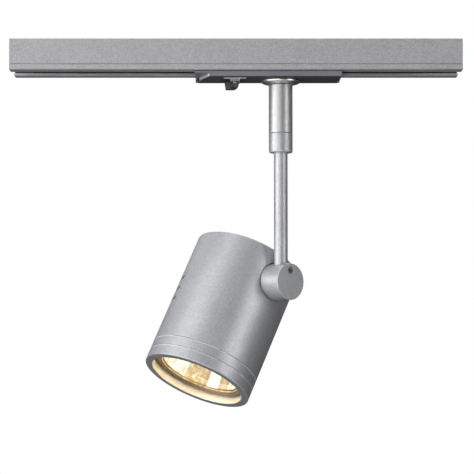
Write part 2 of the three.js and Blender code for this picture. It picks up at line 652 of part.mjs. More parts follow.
function buildStem() {
  add(spotlight, "swivel_collar", swivelCollar(), "silverPaint");
  const { orbit, pin: pinRadius, sunk, proud } = SWIVEL_STOP;
  const pin = rod(pinRadius, COLLAR.spigotTop - sunk, COLLAR.spigotTop + proud, 12);
  add(spotlight, "swivel_stop_pin", pin.translate(orbit, 0, 0), "steel");
  const stemBottom = PIVOT_Z + BARREL.socket + GAP;
  add(spotlight, "stem_tube", ring(STEM.bore, STEM.radius, stemBottom, STEM.top, 24), "silverPaint");

  const knuckle = frameGroup(up, sideways, knuckleAxis, new THREE.Vector3(0, 0, PIVOT_Z));
  add(knuckle, "knuckle_barrel", knuckleBarrel(), "silverPaint");
  add(knuckle, "grub_screw", grubScrew(), "blackSteel");
  const clear = NIPPLE.radius + GAP;
  const nipple = ring(NIPPLE.bore, NIPPLE.radius, PIVOT_NIPPLE.inner, PIVOT_NIPPLE.outer);
  add(knuckle, "pivot_nipple", nipple, "steel");
  const locknut = nut(LOCKNUT.flats, clear, LOCKNUT.inner, LOCKNUT.outer);
  add(knuckle, "pivot_locknut", locknut, "steel");
  const washer = ring(clear, WAVE_WASHER.radius, WAVE_WASHER.inner, WAVE_WASHER.outer);
  add(knuckle, "wave_washer", washer, "steel");
  const stopPin = rod(TILT_STOP.pin, TILT_STOP.inner, TILT_STOP.outer, 12);
  add(knuckle, "tilt_stop_pin", stopPin.translate(-TILT_STOP.orbit, 0, 0), "steel");

  const top = SLEEVE.bottom - GAP - PIVOT_Z;
  const route = [
    [top, 0, 0],
    [65, 0, 0],
    [40, 0, 0],
    [16, 0, 0],
    [7.5, 0, 0.3],
    [3.2, 0, 0.4],
    [0.7, 0, -0.9],
    [0, 0, -4],
    [0, 0, -9],
    [0, 0, LEAD_CUT],
  ];
  add(knuckle, "stem_lead", cable(route, LEAD, 30), "leadSheath");
}

// ---------------------------------------------------------------- head
// The head's frame: its Z is the lamp's axis, towards the opening, and its X points to the knuckle.
const tilt = THREE.MathUtils.degToRad(TILT);
const lampAxis = new THREE.Vector3()
  .addScaledVector(up, -Math.cos(tilt))
  .addScaledVector(sideways, Math.sin(tilt));
const across = new THREE.Vector3().crossVectors(lampAxis, knuckleAxis);

// Where the roof's three screws stand, as [x, y] in the head's frame.
const roofScrews = [[0, BRACKET_SCREW_Y], [0, -BRACKET_SCREW_Y], [EARTH_SCREW_X, 0]];

// The tilt stop's pin runs in this arc of the recess, in the plane across the tilt axis.
function stopSlot() {
  const margin = 8;
  const from = 180 - TILT_LIMIT - TILT - margin;
  const to = 180 + TILT_LIMIT - TILT + margin;
  const { orbit, pin, inner } = TILT_STOP;
  return sector(orbit - pin - GAP, orbit + pin + GAP, from, to, inner - GAP, RECESS.flat + 1, 16);
}

// Moves a solid from the knuckle's frame at rest into the head's frame.
function fromKnuckle(geometry) {
  const knuckle = new THREE.Matrix4().makeBasis(up, sideways, knuckleAxis);
  const head = new THREE.Matrix4().makeBasis(knuckleAxis, across, lampAxis);
  const turn = head.invert().multiply(knuckle);
  return geometry.applyMatrix4(turn).translate(HEAD.offset, 0, 0);
}

function headHousing() {
  const { radius, wall, top, topWall, seam, spigotEnd, edge } = HEAD;
  const inner = radius - wall;
  const roof = top + topWall;
  const shoulder = RING.skirt - GAP;
  const rounded = arc(edge, -90, 0, 4, radius - edge, top + edge);
  const shell = turned([
    [0, top],
    ...rounded,
    [radius, seam],
    [shoulder, seam],
    [shoulder, spigotEnd],
    [inner, spigotEnd],
    [inner, roof],
    [0, roof],
  ], 56);
  const envelope = rod(radius - edge / 2, top + edge, seam, 56);
  const padAxis = alongX(rod(RECESS.padRadius, HEAD.offset + RECESS.pad, HEAD.offset, 28));
  const bosses = roofScrews.map(([x, y]) =>
    rod(SCREW.boss, roof - 0.5, roof + SCREW.bossHeight, 20).translate(x, y, 0));
  const solid = join(shell, common(padAxis, envelope), ...bosses);
  const recess = alongX(rod(RECESS.radius, HEAD.offset + RECESS.flat, HEAD.offset + 4, 40));
  const bore = alongX(rod(NIPPLE.radius + GAP, 20, HEAD.offset));
  const slots = Array.from({ length: VENT.count }, (_, i) => {
    const low = VENT.first + i * VENT.pitch - VENT.width / 2;
    const from = 180 - VENT.halfSpan;
    const to = 180 + VENT.halfSpan;
    return sector(inner - 1, radius + 1, from, to, low, low + VENT.width, 14);
  });
  const threads = roofScrews.map(([x, y]) =>
    rod(SCREW.hole, roof - 0.4, roof + SCREW.bossHeight + 1, 12).translate(x, y, 0));
  return cut(solid, recess, bore, fromKnuckle(stopSlot()), ...slots, ...threads);
}

function frontRing() {
  const { radius, rim, seam } = HEAD;
  const { groove, grooveWidth, grooveDepth, bore, web, skirt } = RING;
  const chamfer = 0.3;
  return turned([
    [skirt, seam + GAP],
    [radius, seam + GAP],
    [radius, groove - grooveWidth / 2],
    [radius - grooveDepth, groove - grooveWidth / 2],
    [radius - grooveDepth, groove + grooveWidth / 2],
    [radius, groove + grooveWidth / 2],
    [radius, rim - chamfer],
    [radius - chamfer, rim],
    [bore + chamfer, rim],
    [bore, rim - chamfer],
    [bore, web],
    [skirt, web],
  ], 56);
}

// Points on an elliptical bowl, in degrees from its mouth at 0 to its pole at -90.
function bowl(radius, depth, mouth, from, to, steps) {
  return arc(1, from, to, steps).map(([r, z]) => [radius * r, mouth + depth * z]);
}

// The reflector's section: down its outside, across the neck and up its inside to the glass's seat.
function lampReflector() {
  const { front, radius, lip, neck, baseTop } = LAMP;
  const base = baseTop + GAP;
  const outside = bowl(BOWL.outer, BOWL.outerDepth, BOWL.outerMouth, 0, BOWL.outerEnd, 5);
  const inside = bowl(BOWL.inner, BOWL.innerDepth, BOWL.innerMouth, BOWL.innerEnd, 0, 6);
  return turned([
    [radius, front],
    [radius, front - lip],
    ...outside,
    [outside.at(-1)[0], base],
    [neck, base],
    ...inside,
    [GLASS.seat, BOWL.innerMouth],
    [GLASS.seat, front],
  ], 40);
}

function lampBase() {
  const { baseTop, baseBottom } = LAMP;
  const { radius, foot, taper, well, wellDepth } = LAMP_BASE;
  return turned([
    [0, baseBottom],
    [foot, baseBottom],
    [radius, baseBottom + taper],
    [radius, baseTop],
    [well, baseTop],
    [well, baseTop - wellDepth],
    [0, baseTop - wellDepth],
  ], 32);
}

function lampCapsule() {
  const start = LAMP.baseTop - LAMP_BASE.wellDepth + GAP;
  const { radius, shoulder, nose } = CAPSULE;
  const round = arc(1, 0, 90, 5).map(([r, z]) => [radius * r, shoulder + nose * z]);
  return turned([[0, start], [radius, start], ...round.slice(0, -1), [0, shoulder + nose]], 24);
}

// One of the lamp's two headed contact pins.
function lampPin(sign) {
  const start = LAMP.baseBottom - GAP;
  const pin = turned([
    [0, start],
    [PIN.shank, start],
    [PIN.shank, PIN.shoulder],
    [PIN.head, PIN.shoulder],
    [PIN.head, PIN.rounding],
    [PIN.tip, PIN.end],
    [0, PIN.end],
  ], 16);
  return pin.translate(0, sign * PIN.orbit, 0);
}

// A ceramic block with an arc-shaped slot for each pin to twist in.
function lampHolder() {
  const { radius, bottom, top } = HOLDER;
  const { floor, margin } = HOLDER_SLOT;
  const clear = PIN.head + GAP;
  const slots = [90, 270].map((angle) => sector(
    PIN.orbit - clear, PIN.orbit + clear, angle - margin, angle + LAMP_TWIST + margin,
    floor, top + 1, 14,
  ));
  return cut(rod(radius, bottom, top, 36), ...slots);
}

function holderBracket() {
  const { half, plate: reach, thickness, foot, footTop, hole } = BRACKET;
  const low = HOLDER.bottom - GAP - thickness;
  const outline = mirrored([
    [reach, low + thickness],
    [reach, footTop],
    [foot, footTop],
    [foot, footTop - thickness],
    [reach - thickness, footTop - thickness],
    [reach - thickness, low],
  ]);
  const strip = extrusion(outline, -half, half);
  const holes = [-1, 1].map((sign) =>
    rod(SCREW.hole, footTop - 3, footTop + 1, 12).translate(0, sign * BRACKET_SCREW_Y, 0));
  return cut(strip, rod(hole, low - 1, low + 3, 24), ...holes);
}

// A pan-head screw pointing to the roof of the head, with its head's underside at z.
function panScrew(z, length) {
  const { shank, head, crown, height, slot } = SCREW;
  const pan = turned([
    [0, z + height],
    [crown, z + height - 0.2],
    [head, z + 0.4 * height],
    [head, z],
    [0, z],
  ], 16);
  const groove = box(-head - 1, head + 1, -slot / 2, slot / 2, z + height / 2, z + height + 1);
  return cut(join(pan, rod(shank, z - length, z + 0.1, 12)), groove);
}

function buildHead() {
  const origin = new THREE.Vector3(0, 0, PIVOT_Z).addScaledVector(knuckleAxis, -HEAD.offset);
  const head = frameGroup(knuckleAxis, across, lampAxis, origin);
  add(head, "head_housing", headHousing(), "silverPaint");
  const { radius: washerRadius, inner: washerInner, outer: washerOuter } = FRICTION_WASHER;
  const washer = ring(NIPPLE.radius + GAP, washerRadius, washerInner, washerOuter);
  add(head, "friction_washer", alongX(washer).translate(HEAD.offset, 0, 0), "fibre");
  add(head, "lamp_holder", lampHolder(), "ceramic");
  add(head, "holder_bracket", holderBracket(), "steel");
  const seat = BRACKET.footTop + GAP;
  for (const [name, sign] of [["left", -1], ["right", 1]]) {
    const screw = panScrew(seat, 3).translate(0, sign * BRACKET_SCREW_Y, 0);
    add(head, "bracket_screw_" + name, screw, "steel");
  }
  const bossTop = HEAD.top + HEAD.topWall + SCREW.bossHeight;
  add(head, "earth_screw", panScrew(bossTop + GAP, 2).translate(EARTH_SCREW_X, 0, 0), "brass");

  const leadStart = HEAD.offset + LEAD_CUT - GAP;
  const leadEnd = 3;
  const leadRoute = [
    [leadStart, 0, 0],
    [15, 0, -0.5],
    [11, 0, -3.2],
    [7, 0, -6.3],
    [leadEnd, 0, -7.6],
  ];
  add(head, "head_lead", cable(leadRoute, LEAD, 16), "leadSheath");
  for (const [name, sign, material] of [["live", -1, "liveWire"], ["neutral", 1, "neutralWire"]]) {
    const route = [
      [leadEnd - 0.6, sign * 1.0, -7],
      [-0.8, sign * 1.6, -6.6],
      [-3.4, sign * 2.6, -4.2],
      [-3.4, sign * 3.4, -1],
      [-3.2, sign * 3.6, HOLDER.bottom - GAP],
    ];
    add(head, "holder_wire_" + name, cable(route, WIRE, 14, 6), material);
  }
  const earthRoute = [[leadEnd - 0.6, 0, -8.7], [-1.5, 0, -9.6], [-5.5, 0, -11], [-8.9, 0, -11.4]];
  add(head, "earth_wire", cable(earthRoute, WIRE, 10, 6), "earthWire");

  add(head, "front_ring", frontRing(), "silverPaint");
  const { inner, outer, front, thickness } = RETAINER;
  add(head, "lamp_retainer", ring(inner, outer, front - thickness, front, 40), "bronzeRing");

  add(head, "lamp_reflector", lampReflector(), "mirror");
  add(head, "lamp_glass", rod(GLASS.radius, GLASS.back, GLASS.front, 40), "glass");
  add(head, "lamp_capsule", lampCapsule(), "quartz");
  add(head, "lamp_base", lampBase(), "ceramic");
  add(head, "lamp_pin_left", lampPin(-1), "steel");
  add(head, "lamp_pin_right", lampPin(1), "steel");
}

buildTrack();
buildAdapter();
buildLever();
buildStem();
buildHead();

export default spotlight;
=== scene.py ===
"""The looks of a track spotlight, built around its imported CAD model.

Metres, in the CAD frame: +X along the track, +Y to its rear, +Z up.
"""

import json
import math
import random

import bmesh
import bpy
from mathutils import Matrix, Vector


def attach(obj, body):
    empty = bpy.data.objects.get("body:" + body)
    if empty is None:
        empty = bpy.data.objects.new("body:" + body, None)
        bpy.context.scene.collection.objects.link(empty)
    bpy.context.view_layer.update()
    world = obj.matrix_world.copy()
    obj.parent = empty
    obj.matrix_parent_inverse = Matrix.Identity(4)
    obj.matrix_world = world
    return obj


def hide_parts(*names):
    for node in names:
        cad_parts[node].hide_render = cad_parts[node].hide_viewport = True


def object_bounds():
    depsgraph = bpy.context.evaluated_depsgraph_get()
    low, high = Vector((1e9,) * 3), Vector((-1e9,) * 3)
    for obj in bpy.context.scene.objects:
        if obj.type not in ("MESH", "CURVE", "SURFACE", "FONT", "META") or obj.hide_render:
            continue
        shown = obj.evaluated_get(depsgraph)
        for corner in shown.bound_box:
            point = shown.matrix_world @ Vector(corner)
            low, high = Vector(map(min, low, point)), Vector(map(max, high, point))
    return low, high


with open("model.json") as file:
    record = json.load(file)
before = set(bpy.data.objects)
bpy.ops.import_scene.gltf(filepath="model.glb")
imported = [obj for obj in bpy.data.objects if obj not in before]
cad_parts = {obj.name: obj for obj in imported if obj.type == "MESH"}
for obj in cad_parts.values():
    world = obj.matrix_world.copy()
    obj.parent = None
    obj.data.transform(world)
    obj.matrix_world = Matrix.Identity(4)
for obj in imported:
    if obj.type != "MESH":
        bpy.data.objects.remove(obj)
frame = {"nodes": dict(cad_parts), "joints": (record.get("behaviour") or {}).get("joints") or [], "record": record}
cad_low, cad_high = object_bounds()
nodes = frame["nodes"]
joints = {joint["name"]: joint for joint in frame["joints"]}

MM = 0.001
CLEAR = 0.3 * MM  # the gap kept between neighbouring pieces
SEGMENTS = 192  # round the large turned pieces
SMALL_SEGMENTS = 96
TURNED_STEPS, EXTRUDED_STEPS = 5, 4  # the flats that make up one rounded corner
EDGE_WEAR_AND_HIGHLIGHT = 0.16  # how far the rounded edges of turned pieces are lightened, partly as rubbed paint and partly as a painted highlight
SOFT_EDGE = 0.06 * MM  # the bevel on the CAD nodes that stay
SHARP = math.radians(32)  # edges sharper than this keep their crease
FLAT = math.radians(0.3)  # faces that meet at less than this are one flat face


# ---------------------------------------------------------------- places
def place(x_axis, y_axis, z_axis, origin):
    """The matrix that puts a piece made in its own frame into the row frame."""
    turn = Matrix((x_axis, y_axis, z_axis)).transposed().to_4x4()
    return Matrix.Translation(origin) @ turn


UP = Vector((0, 0, 1))
PIVOT = Vector(joints["head_tilt"]["pos_m"])
TILT_AXIS = Vector(joints["head_tilt"]["axis"]).normalized()
LAMP_AXIS = Vector(joints["lamp_twist"]["axis"]).normalized()
HEAD_ORIGIN = Vector(joints["lamp_twist"]["pos_m"])

STEM = Matrix.Identity(4)  # turned pieces about the stem's axis
HEAD = place(TILT_AXIS, LAMP_AXIS.cross(TILT_AXIS), LAMP_AXIS, HEAD_ORIGIN)
KNUCKLE = place(UP, TILT_AXIS.cross(UP), TILT_AXIS, PIVOT)
RISE = Matrix.Translation(PIVOT)  # straight up from the tilt pivot


def span(node, where=STEM):
    """The lowest and highest corners of a CAD node, measured in a place's own frame."""
    back = where.inverted()
    points = [back @ vertex.co for vertex in nodes[node].data.vertices]
    low = Vector([min(p[i] for p in points) for i in range(3)])
    high = Vector([max(p[i] for p in points) for i in range(3)])
    return low, high


def middle_of(node, where=STEM):
    low, high = span(node, where)
    return (low + high) / 2


# ---------------------------------------------------------------- shapes
def finish_mesh(mesh):
    """Smooth faces, with a crease wherever two of them meet sharply."""
    mesh.shade_smooth()
    mesh.set_sharp_from_angle(angle=SHARP)


def new_piece(name, vertices, faces, where=STEM, wear_and_highlight=None):
    """A mesh object. Each face's wear_and_highlight value says how far its finish is lightened, from 0 to 1,
    partly as wear and partly as a painted highlight.
    """
    mesh = bpy.data.meshes.new(name)
    mesh.from_pydata([tuple(v) for v in vertices], [], faces)
    face_wear_and_highlight = mesh.attributes.new("wear_and_highlight", "FLOAT", "FACE")
    face_wear_and_highlight.data.foreach_set("value", wear_and_highlight or [0.0] * len(faces))
    mesh.transform(where)
    work = bmesh.new()
    work.from_mesh(mesh)
    bmesh.ops.remove_doubles(work, verts=work.verts, dist=1e-7)
    bmesh.ops.recalc_face_normals(work, faces=work.faces)
    work.to_mesh(mesh)
    work.free()
    finish_mesh(mesh)
    piece = bpy.data.objects.new(name, mesh)
    bpy.context.scene.collection.objects.link(piece)
    return piece


def fillet(corner, before, after, radius, reach_before, reach_after, steps):
    """Points that round one corner of an outline, within the free lengths of its two sides."""
    a = (before - corner).normalized()
    b = (after - corner).normalized()
    half = math.acos(max(-1, min(1, a.dot(b)))) / 2
    reach = min(radius / math.tan(half), reach_before, reach_after)
    radius = reach * math.tan(half)
    centre = corner + (a + b).normalized() * (radius / math.sin(half))
    start = corner + a * reach - centre
    end = corner + b * reach - centre
    turn = start.angle_signed(end)
    points = []
    for i in range(steps + 1):
        angle = -turn * i / steps
        c, s = math.cos(angle), math.sin(angle)
        points.append(centre + Vector((start.x * c - start.y * s, start.x * s + start.y * c)))
    return points


def rounded(outline, steps):
    """An outline of (u, v) or (u, v, radius) corners, with each given radius rounded.

    Gives the points and, for each one, the number of the round that it lies on, or 0.
    """
    corners = [Vector(c[:2]) for c in outline]
    radii = [c[2] if len(c) > 2 else 0 for c in outline]
    points, rounds = [], []
    for i, corner in enumerate(corners):
        if not radii[i]:
            points.append(corner)
            rounds.append(0)
            continue
        following = (i + 1) % len(corners)
        # A side is shared by two rounds, or belongs to one if its other end is sharp.
        free = [
            (corners[j] - corner).length * (0.49 if radii[j] else 0.98)
            for j in (i - 1, following)
        ]
        arc = fillet(corner, corners[i - 1], corners[following], radii[i], *free, steps)
        points += arc
        rounds += [i + 1] * len(arc)
    return points, rounds


def corner_wear_and_highlight(corner):
    """A corner's own wear and painted highlight if it has one: (radius, height, round, wear and highlight)."""
    return corner[3] if len(corner) > 3 else EDGE_WEAR_AND_HIGHLIGHT


def turned(name, outline, where=STEM, segments=SEGMENTS):
    """A section of (radius, height) corners turned about a place's Z axis. Its rounds are lightened, partly as
    wear and partly as a painted highlight.
    """
    section, rounds = rounded(outline, TURNED_STEPS)
    vertices, rows = [], []
    for point in section:
        row = []
        for i in range(segments if point.x > 1e-9 else 1):
            angle = 2 * math.pi * i / segments
            row.append(len(vertices))
            vertices.append((point.x * math.cos(angle), point.x * math.sin(angle), point.y))
        rows.append(row)
    faces, wear_and_highlight = [], []
    for k, a in enumerate(rows):
        following = (k + 1) % len(rows)
        b = rows[following]
        on_round = rounds[k] > 0 and rounds[k] == rounds[following]
        face_wear_and_highlight = corner_wear_and_highlight(outline[rounds[k] - 1]) if on_round else 0.0
        for i in range(segments):
            j = (i + 1) % segments
            corners = [a[i % len(a)], a[j % len(a)], b[j % len(b)], b[i % len(b)]]
            corners = list(dict.fromkeys(corners))
            if len(corners) > 2:
                faces.append(corners)
                wear_and_highlight.append(face_wear_and_highlight)
    return new_piece(name, vertices, faces, where, wear_and_highlight)


def extruded(name, outline, start, end, where=STEM):
    """A closed outline in a place's (X, Y) plane, extruded along its Z axis."""
    section = rounded(outline, EXTRUDED_STEPS)[0]
    count = len(section)
    vertices = [(p.x, p.y, start) for p in section] + [(p.x, p.y, end) for p in section]
    faces = [list(range(count)), list(range(count, 2 * count))]
    for i in range(count):
        j = (i + 1) % count
        faces.append([i, j, count + j, count + i])
    return new_piece(name, vertices, faces, where)


def apply_modifiers(piece):
    view = bpy.context.evaluated_depsgraph_get()
    mesh = bpy.data.meshes.new_from_object(piece.evaluated_get(view))
    piece.modifiers.clear()
    piece.data = mesh


def combined(piece, operation, tools):
    """Adds tools to a piece, or takes them out of it, and deletes them."""
    for tool in tools:
        modifier = piece.modifiers.new("combine", "BOOLEAN")
        modifier.operation = operation
        modifier.solver = "MANIFOLD"  # every piece and tool is a closed solid
        modifier.object = tool
        apply_modifiers(piece)
        bpy.data.objects.remove(tool)
    work = bmesh.new()
    work.from_mesh(piece.data)
    bmesh.ops.remove_doubles(work, verts=work.verts, dist=1e-7)
    # Triangles that lie in one plane become one face again, so that round faces shade evenly.
    bmesh.ops.dissolve_limit(work, angle_limit=FLAT, verts=work.verts, edges=work.edges)
    work.to_mesh(piece.data)
    work.free()
    finish_mesh(piece.data)
    return piece


def cut(piece, *tools):
    return combined(piece, "DIFFERENCE", tools)


def joined(piece, *tools):
    return combined(piece, "UNION", tools)


def rod(radius, low, high, where=STEM, at=(0, 0), segments=64):
    """A round tool or boss along a place's Z axis."""
    outline = [(0, low), (radius, low), (radius, high), (0, high)]
    return turned("tool", outline, where @ Matrix.Translation((*at, 0)), segments)


def stands_for(piece, body, slot, material, *replaced):
    """Gives a new piece its body, its finish and the CAD nodes that it stands for."""
    piece.data.materials.clear()
    piece.data.materials.append(material)
    # Large faces set the shading, so a small round doesn't bend the light on the wall beside it.
    even = piece.modifiers.new("even_shading", "WEIGHTED_NORMAL")
    even.keep_sharp = True
    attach(piece, body)
    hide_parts(*replaced)
    return piece


# ---------------------------------------------------------------- materials
class Surface:
    """A material's node tree, with short ways to add the usual nodes."""

    def __init__(self, name):
        self.material = bpy.data.materials.new(name)
        self.material.use_nodes = True
        self.tree = self.material.node_tree
        self.shader = self.tree.nodes["Principled BSDF"]
        self.place = self.tree.nodes.new("ShaderNodeTexCoord").outputs["Object"]

    def link(self, source, target):
        self.tree.links.new(source, target)

    def set(self, **values):
        for name, value in values.items():
            self.shader.inputs[name.replace("_", " ")].default_value = value
        return self

    def stretched(self, scale, where=None):
        """Object coordinates, turned into a place's own frame and stretched."""
        mapping = self.tree.nodes.new("ShaderNodeMapping")
        self.link(self.place, mapping.inputs["Vector"])
        if where is not None:
            back = where.inverted()
            mapping.inputs["Location"].default_value = back.translation
            mapping.inputs["Rotation"].default_value = back.to_euler()
        stretch = self.tree.nodes.new("ShaderNodeVectorMath")
        stretch.operation = "MULTIPLY"
        self.link(mapping.outputs["Vector"], stretch.inputs[0])
        stretch.inputs[1].default_value = scale
        return stretch.outputs["Vector"]

    def noise(self, scale, detail, vector=None):
        node = self.tree.nodes.new("ShaderNodeTexNoise")
        node.inputs["Scale"].default_value = scale
        node.inputs["Detail"].default_value = detail
        self.link(vector or self.place, node.inputs["Vector"])
        return node.outputs["Fac"]

    def grains(self, scale):
        """Each small cell's random value, from 0 to 1."""
        node = self.tree.nodes.new("ShaderNodeTexVoronoi")
        node.inputs["Scale"].default_value = scale
        self.link(self.place, node.inputs["Vector"])
        split = self.tree.nodes.new("ShaderNodeSeparateColor")
        self.link(node.outputs["Color"], split.inputs["Color"])
        return split.outputs["Red"]

    def ramp(self, value, *stops):
        node = self.tree.nodes.new("ShaderNodeValToRGB")
        elements = node.color_ramp.elements
        while len(elements) < len(stops):
            elements.new(0.5)
        for element, (position, colour) in zip(elements, stops):
            element.position = position
            grey = not hasattr(colour, "__len__")
            element.color = (colour, colour, colour, 1) if grey else (*colour, 1)
        self.link(value, node.inputs["Fac"])
        return node.outputs["Color"]

    def spread(self, value, low, high, start=0.0, end=1.0):
        """A value mapped from one span to another, without leaving it."""
        node = self.tree.nodes.new("ShaderNodeMapRange")
        self.link(value, node.inputs["Value"])
        node.inputs["From Min"].default_value = start
        node.inputs["From Max"].default_value = end
        node.inputs["To Min"].default_value = low
        node.inputs["To Max"].default_value = high
        return node.outputs["Result"]

    def mix(self, kind, factor, a, b):
        node = self.tree.nodes.new("ShaderNodeMix")
        node.data_type = "RGBA"
        node.blend_type = kind
        for socket, value in (("Factor", factor), ("A", a), ("B", b)):
            target = next(s for s in node.inputs if s.name == socket and s.enabled)
            if hasattr(value, "is_linked"):
                self.link(value, target)
            elif hasattr(value, "__len__"):
                target.default_value = (*value, 1)
            else:
                target.default_value = value
        return next(s for s in node.outputs if s.enabled)

    def combine(self, operation, a, b):
        node = self.tree.nodes.new("ShaderNodeMath")
        node.operation = operation
        for socket, value in zip(node.inputs, (a, b)):
            if hasattr(value, "is_linked"):
                self.link(value, socket)
            else:
                socket.default_value = value
        return node.outputs["Value"]

    def wear_and_highlight(self, most):
        """How far the finish is lightened here, partly as wear and partly as a painted highlight: most on a
        piece's marked rounds and 0 elsewhere.
        """
        node = self.tree.nodes.new("ShaderNodeAttribute")
        node.attribute_name = "wear_and_highlight"
        return self.spread(node.outputs["Fac"], 0, most)

    def colour(self, socket):
        self.link(socket, self.shader.inputs["Base Color"])

    def rough(self, socket):
        self.link(socket, self.shader.inputs["Roughness"])

    def bump(self, height, distance, strength, under=None):
        node = self.tree.nodes.new("ShaderNodeBump")
        node.inputs["Distance"].default_value = distance
        node.inputs["Strength"].default_value = strength
        self.link(height, node.inputs["Height"])
        if under is not None:
            self.link(under, node.inputs["Normal"])
        self.link(node.outputs["Normal"], self.shader.inputs["Normal"])
        return node.outputs["Normal"]


def scaled(colour, factor):
    return tuple(min(1, c * factor) for c in colour)


def powder_coat(name, colour, roughness, metallic, grain, flake):
    """Metallic powder coat: fine grains of lighter and darker flake over an orange-peel skin."""
    s = Surface(name)
    s.set(Metallic=metallic)
    cloud = s.noise(60, 3)
    tone = s.ramp(cloud, (0.3, scaled(colour, 0.97)), (0.7, scaled(colour, 1.03)))
    flakes = s.ramp(s.grains(grain), (0.0, 1 - flake), (0.5, 1.0), (1.0, 1 + flake))
    soft = flake / 2
    clumps = s.ramp(s.grains(grain * 0.45), (0.0, 1 - soft), (0.5, 1.0), (1.0, 1 + soft))
    grainy = s.mix("MULTIPLY", 1.0, s.mix("MULTIPLY", 1.0, tone, flakes), clumps)
    # Marked rounds are lightened towards a paler colour: partly rubbed paint, partly a painted highlight.
    wear_and_highlight = s.mix("MIX", s.wear_and_highlight(0.9), grainy, scaled(colour, 2.0))
    s.colour(wear_and_highlight)
    fine = s.noise(grain * 0.6, 2)
    rough = s.spread(fine, roughness - 0.06, roughness + 0.06, 0.3, 0.7)
    s.rough(s.combine("ADD", rough, s.wear_and_highlight(0.35)))  # rubbed edges scatter the light more widely
    peel = s.bump(s.noise(700, 2), 0.00002, 0.35)
    s.bump(fine, 0.000012, 0.5, peel)
    return s.material


def moulded(name, colour, roughness, texture=2600):
    """Moulded plastic with a fine spark-eroded texture, and marked edges lightened, partly as wear and partly as a
    painted highlight.
    """
    s = Surface(name)
    s.set(Specular_IOR_Level=0.25)
    cloud = s.noise(45, 3)
    tone = s.ramp(cloud, (0.3, scaled(colour, 0.9)), (0.7, scaled(colour, 1.08)))
    # Marked edges are lightened: partly wear, partly a painted highlight.
    wear_and_highlight = s.mix("MIX", s.wear_and_highlight(0.45), tone, scaled(colour, 1.5))
    s.colour(wear_and_highlight)
    fine = s.noise(texture, 3)
    s.rough(s.spread(fine, roughness - 0.08, roughness + 0.08, 0.3, 0.7))
    s.bump(fine, 0.00003, 0.5)
    return s.material


def metal(name, colour, roughness, grain, where=STEM, depth=0.000004, tarnish=0.88):
    """Bare or plated metal, with a drawn or turned grain along one direction of its place."""
    s = Surface(name)
    s.set(Metallic=1.0)
    lines = s.noise(1, 2, vector=s.stretched(grain, where))
    cloud = s.noise(90, 3)
    tone = s.ramp(cloud, (0.3, scaled(colour, tarnish)), (0.75, colour))
    streaks = s.ramp(lines, (0.3, 0.93), (0.7, 1.05))
    drawn = s.mix("MULTIPLY", 1.0, tone, streaks)
    # Marked rounds are lightened: partly wear, partly a painted highlight.
    s.colour(s.mix("MIX", s.wear_and_highlight(0.4), drawn, scaled(colour, 1.15)))
    s.rough(s.spread(lines, roughness - 0.05, roughness + 0.07, 0.3, 0.7))
    s.bump(lines, depth, 0.6)
    return s.material


def sheath(name, colour, stripe=None):
    """Silicone or plastic insulation, with a lay that can be striped."""
    s = Surface(name)
    cloud = s.noise(300, 3)
    tone = s.ramp(cloud, (0.3, scaled(colour, 0.9)), (0.7, scaled(colour, 1.06)))
    if stripe:
        wave = s.tree.nodes.new("ShaderNodeTexWave")
        wave.inputs["Scale"].default_value = 180
        s.link(s.place, wave.inputs["Vector"])
        band = s.spread(wave.outputs["Fac"], 0, 1, 0.7, 0.75)
        tone = s.mix("MIX", band, tone, stripe)
    s.colour(tone)
    fine = s.noise(3000, 2)
    s.rough(s.spread(fine, 0.43, 0.57, 0.3, 0.7))
    s.bump(fine, 0.00001, 0.3)
    return s.material


def glazed(name, colour):
    """Glazed ceramic with faint specks."""
    s = Surface(name)
    s.set(Coat_Weight=0.35, Coat_Roughness=0.12)
    dark, light = scaled(colour, 0.8), scaled(colour, 1.04)
    speck = s.ramp(s.grains(2500), (0.0, dark), (0.06, colour), (1.0, light))
    s.colour(s.mix("MULTIPLY", 0.5, speck, s.ramp(s.noise(120, 3), (0.3, 0.9), (0.7, 1.0))))
    s.rough(s.spread(s.noise(500, 2), 0.25, 0.42, 0.3, 0.7))
    s.bump(s.noise(900, 2), 0.00003, 0.3)
    return s.material


def clear_glass(name, tint):
    """Clear glass with a faint haze and the trace of a cleaning cloth."""
    s = Surface(name)
    s.set(Transmission_Weight=1.0, IOR=1.47)
    s.colour(s.ramp(s.noise(80, 2), (0.3, scaled(tint, 0.985)), (0.7, tint)))
    s.rough(s.spread(s.noise(260, 3), 0.0, 0.03, 0.45, 0.75))
    return s.material


def mirror_with_painted_reflections(name, colour, strength):
    """The reflector's coating: a mirror whose facets carry a painted reflection of the burner's light, as colour
    and glow, facet by facet.
    """
    s = Surface(name)
    s.set(Metallic=1.0, Emission_Strength=strength)
    # Each face's glow value is its painted reflection of the burner's light.
    glow = s.tree.nodes.new("ShaderNodeAttribute")
    glow.attribute_name = "glow"
    mottle = s.spread(s.noise(500, 3), 0.8, 1.2, 0.35, 0.65)
    mottled = s.combine("MULTIPLY", glow.outputs["Fac"], mottle)
    tone = s.ramp(
        mottled,
        (0.0, (0.03, 0.015, 0.005)),
        (0.3, (0.20, 0.11, 0.035)),
        (0.5, (0.47, 0.30, 0.10)),
        (0.68, (0.80, 0.64, 0.34)),
        (0.85, (1.0, 0.96, 0.82)),
        (1.0, (1.0, 1.0, 1.0)),
    )
    coating = s.ramp(s.noise(200, 2), (0.3, scaled(colour, 0.93)), (0.7, colour))
    s.colour(s.mix("MULTIPLY", 0.5, coating, tone))
    # The facets glow with their painted reflection.
    s.link(tone, s.shader.inputs["Emission Color"])
    s.rough(s.spread(s.noise(600, 2), 0.04, 0.12, 0.3, 0.7))
    s.bump(s.noise(350, 2), 0.00003, 0.25)
    return s.material


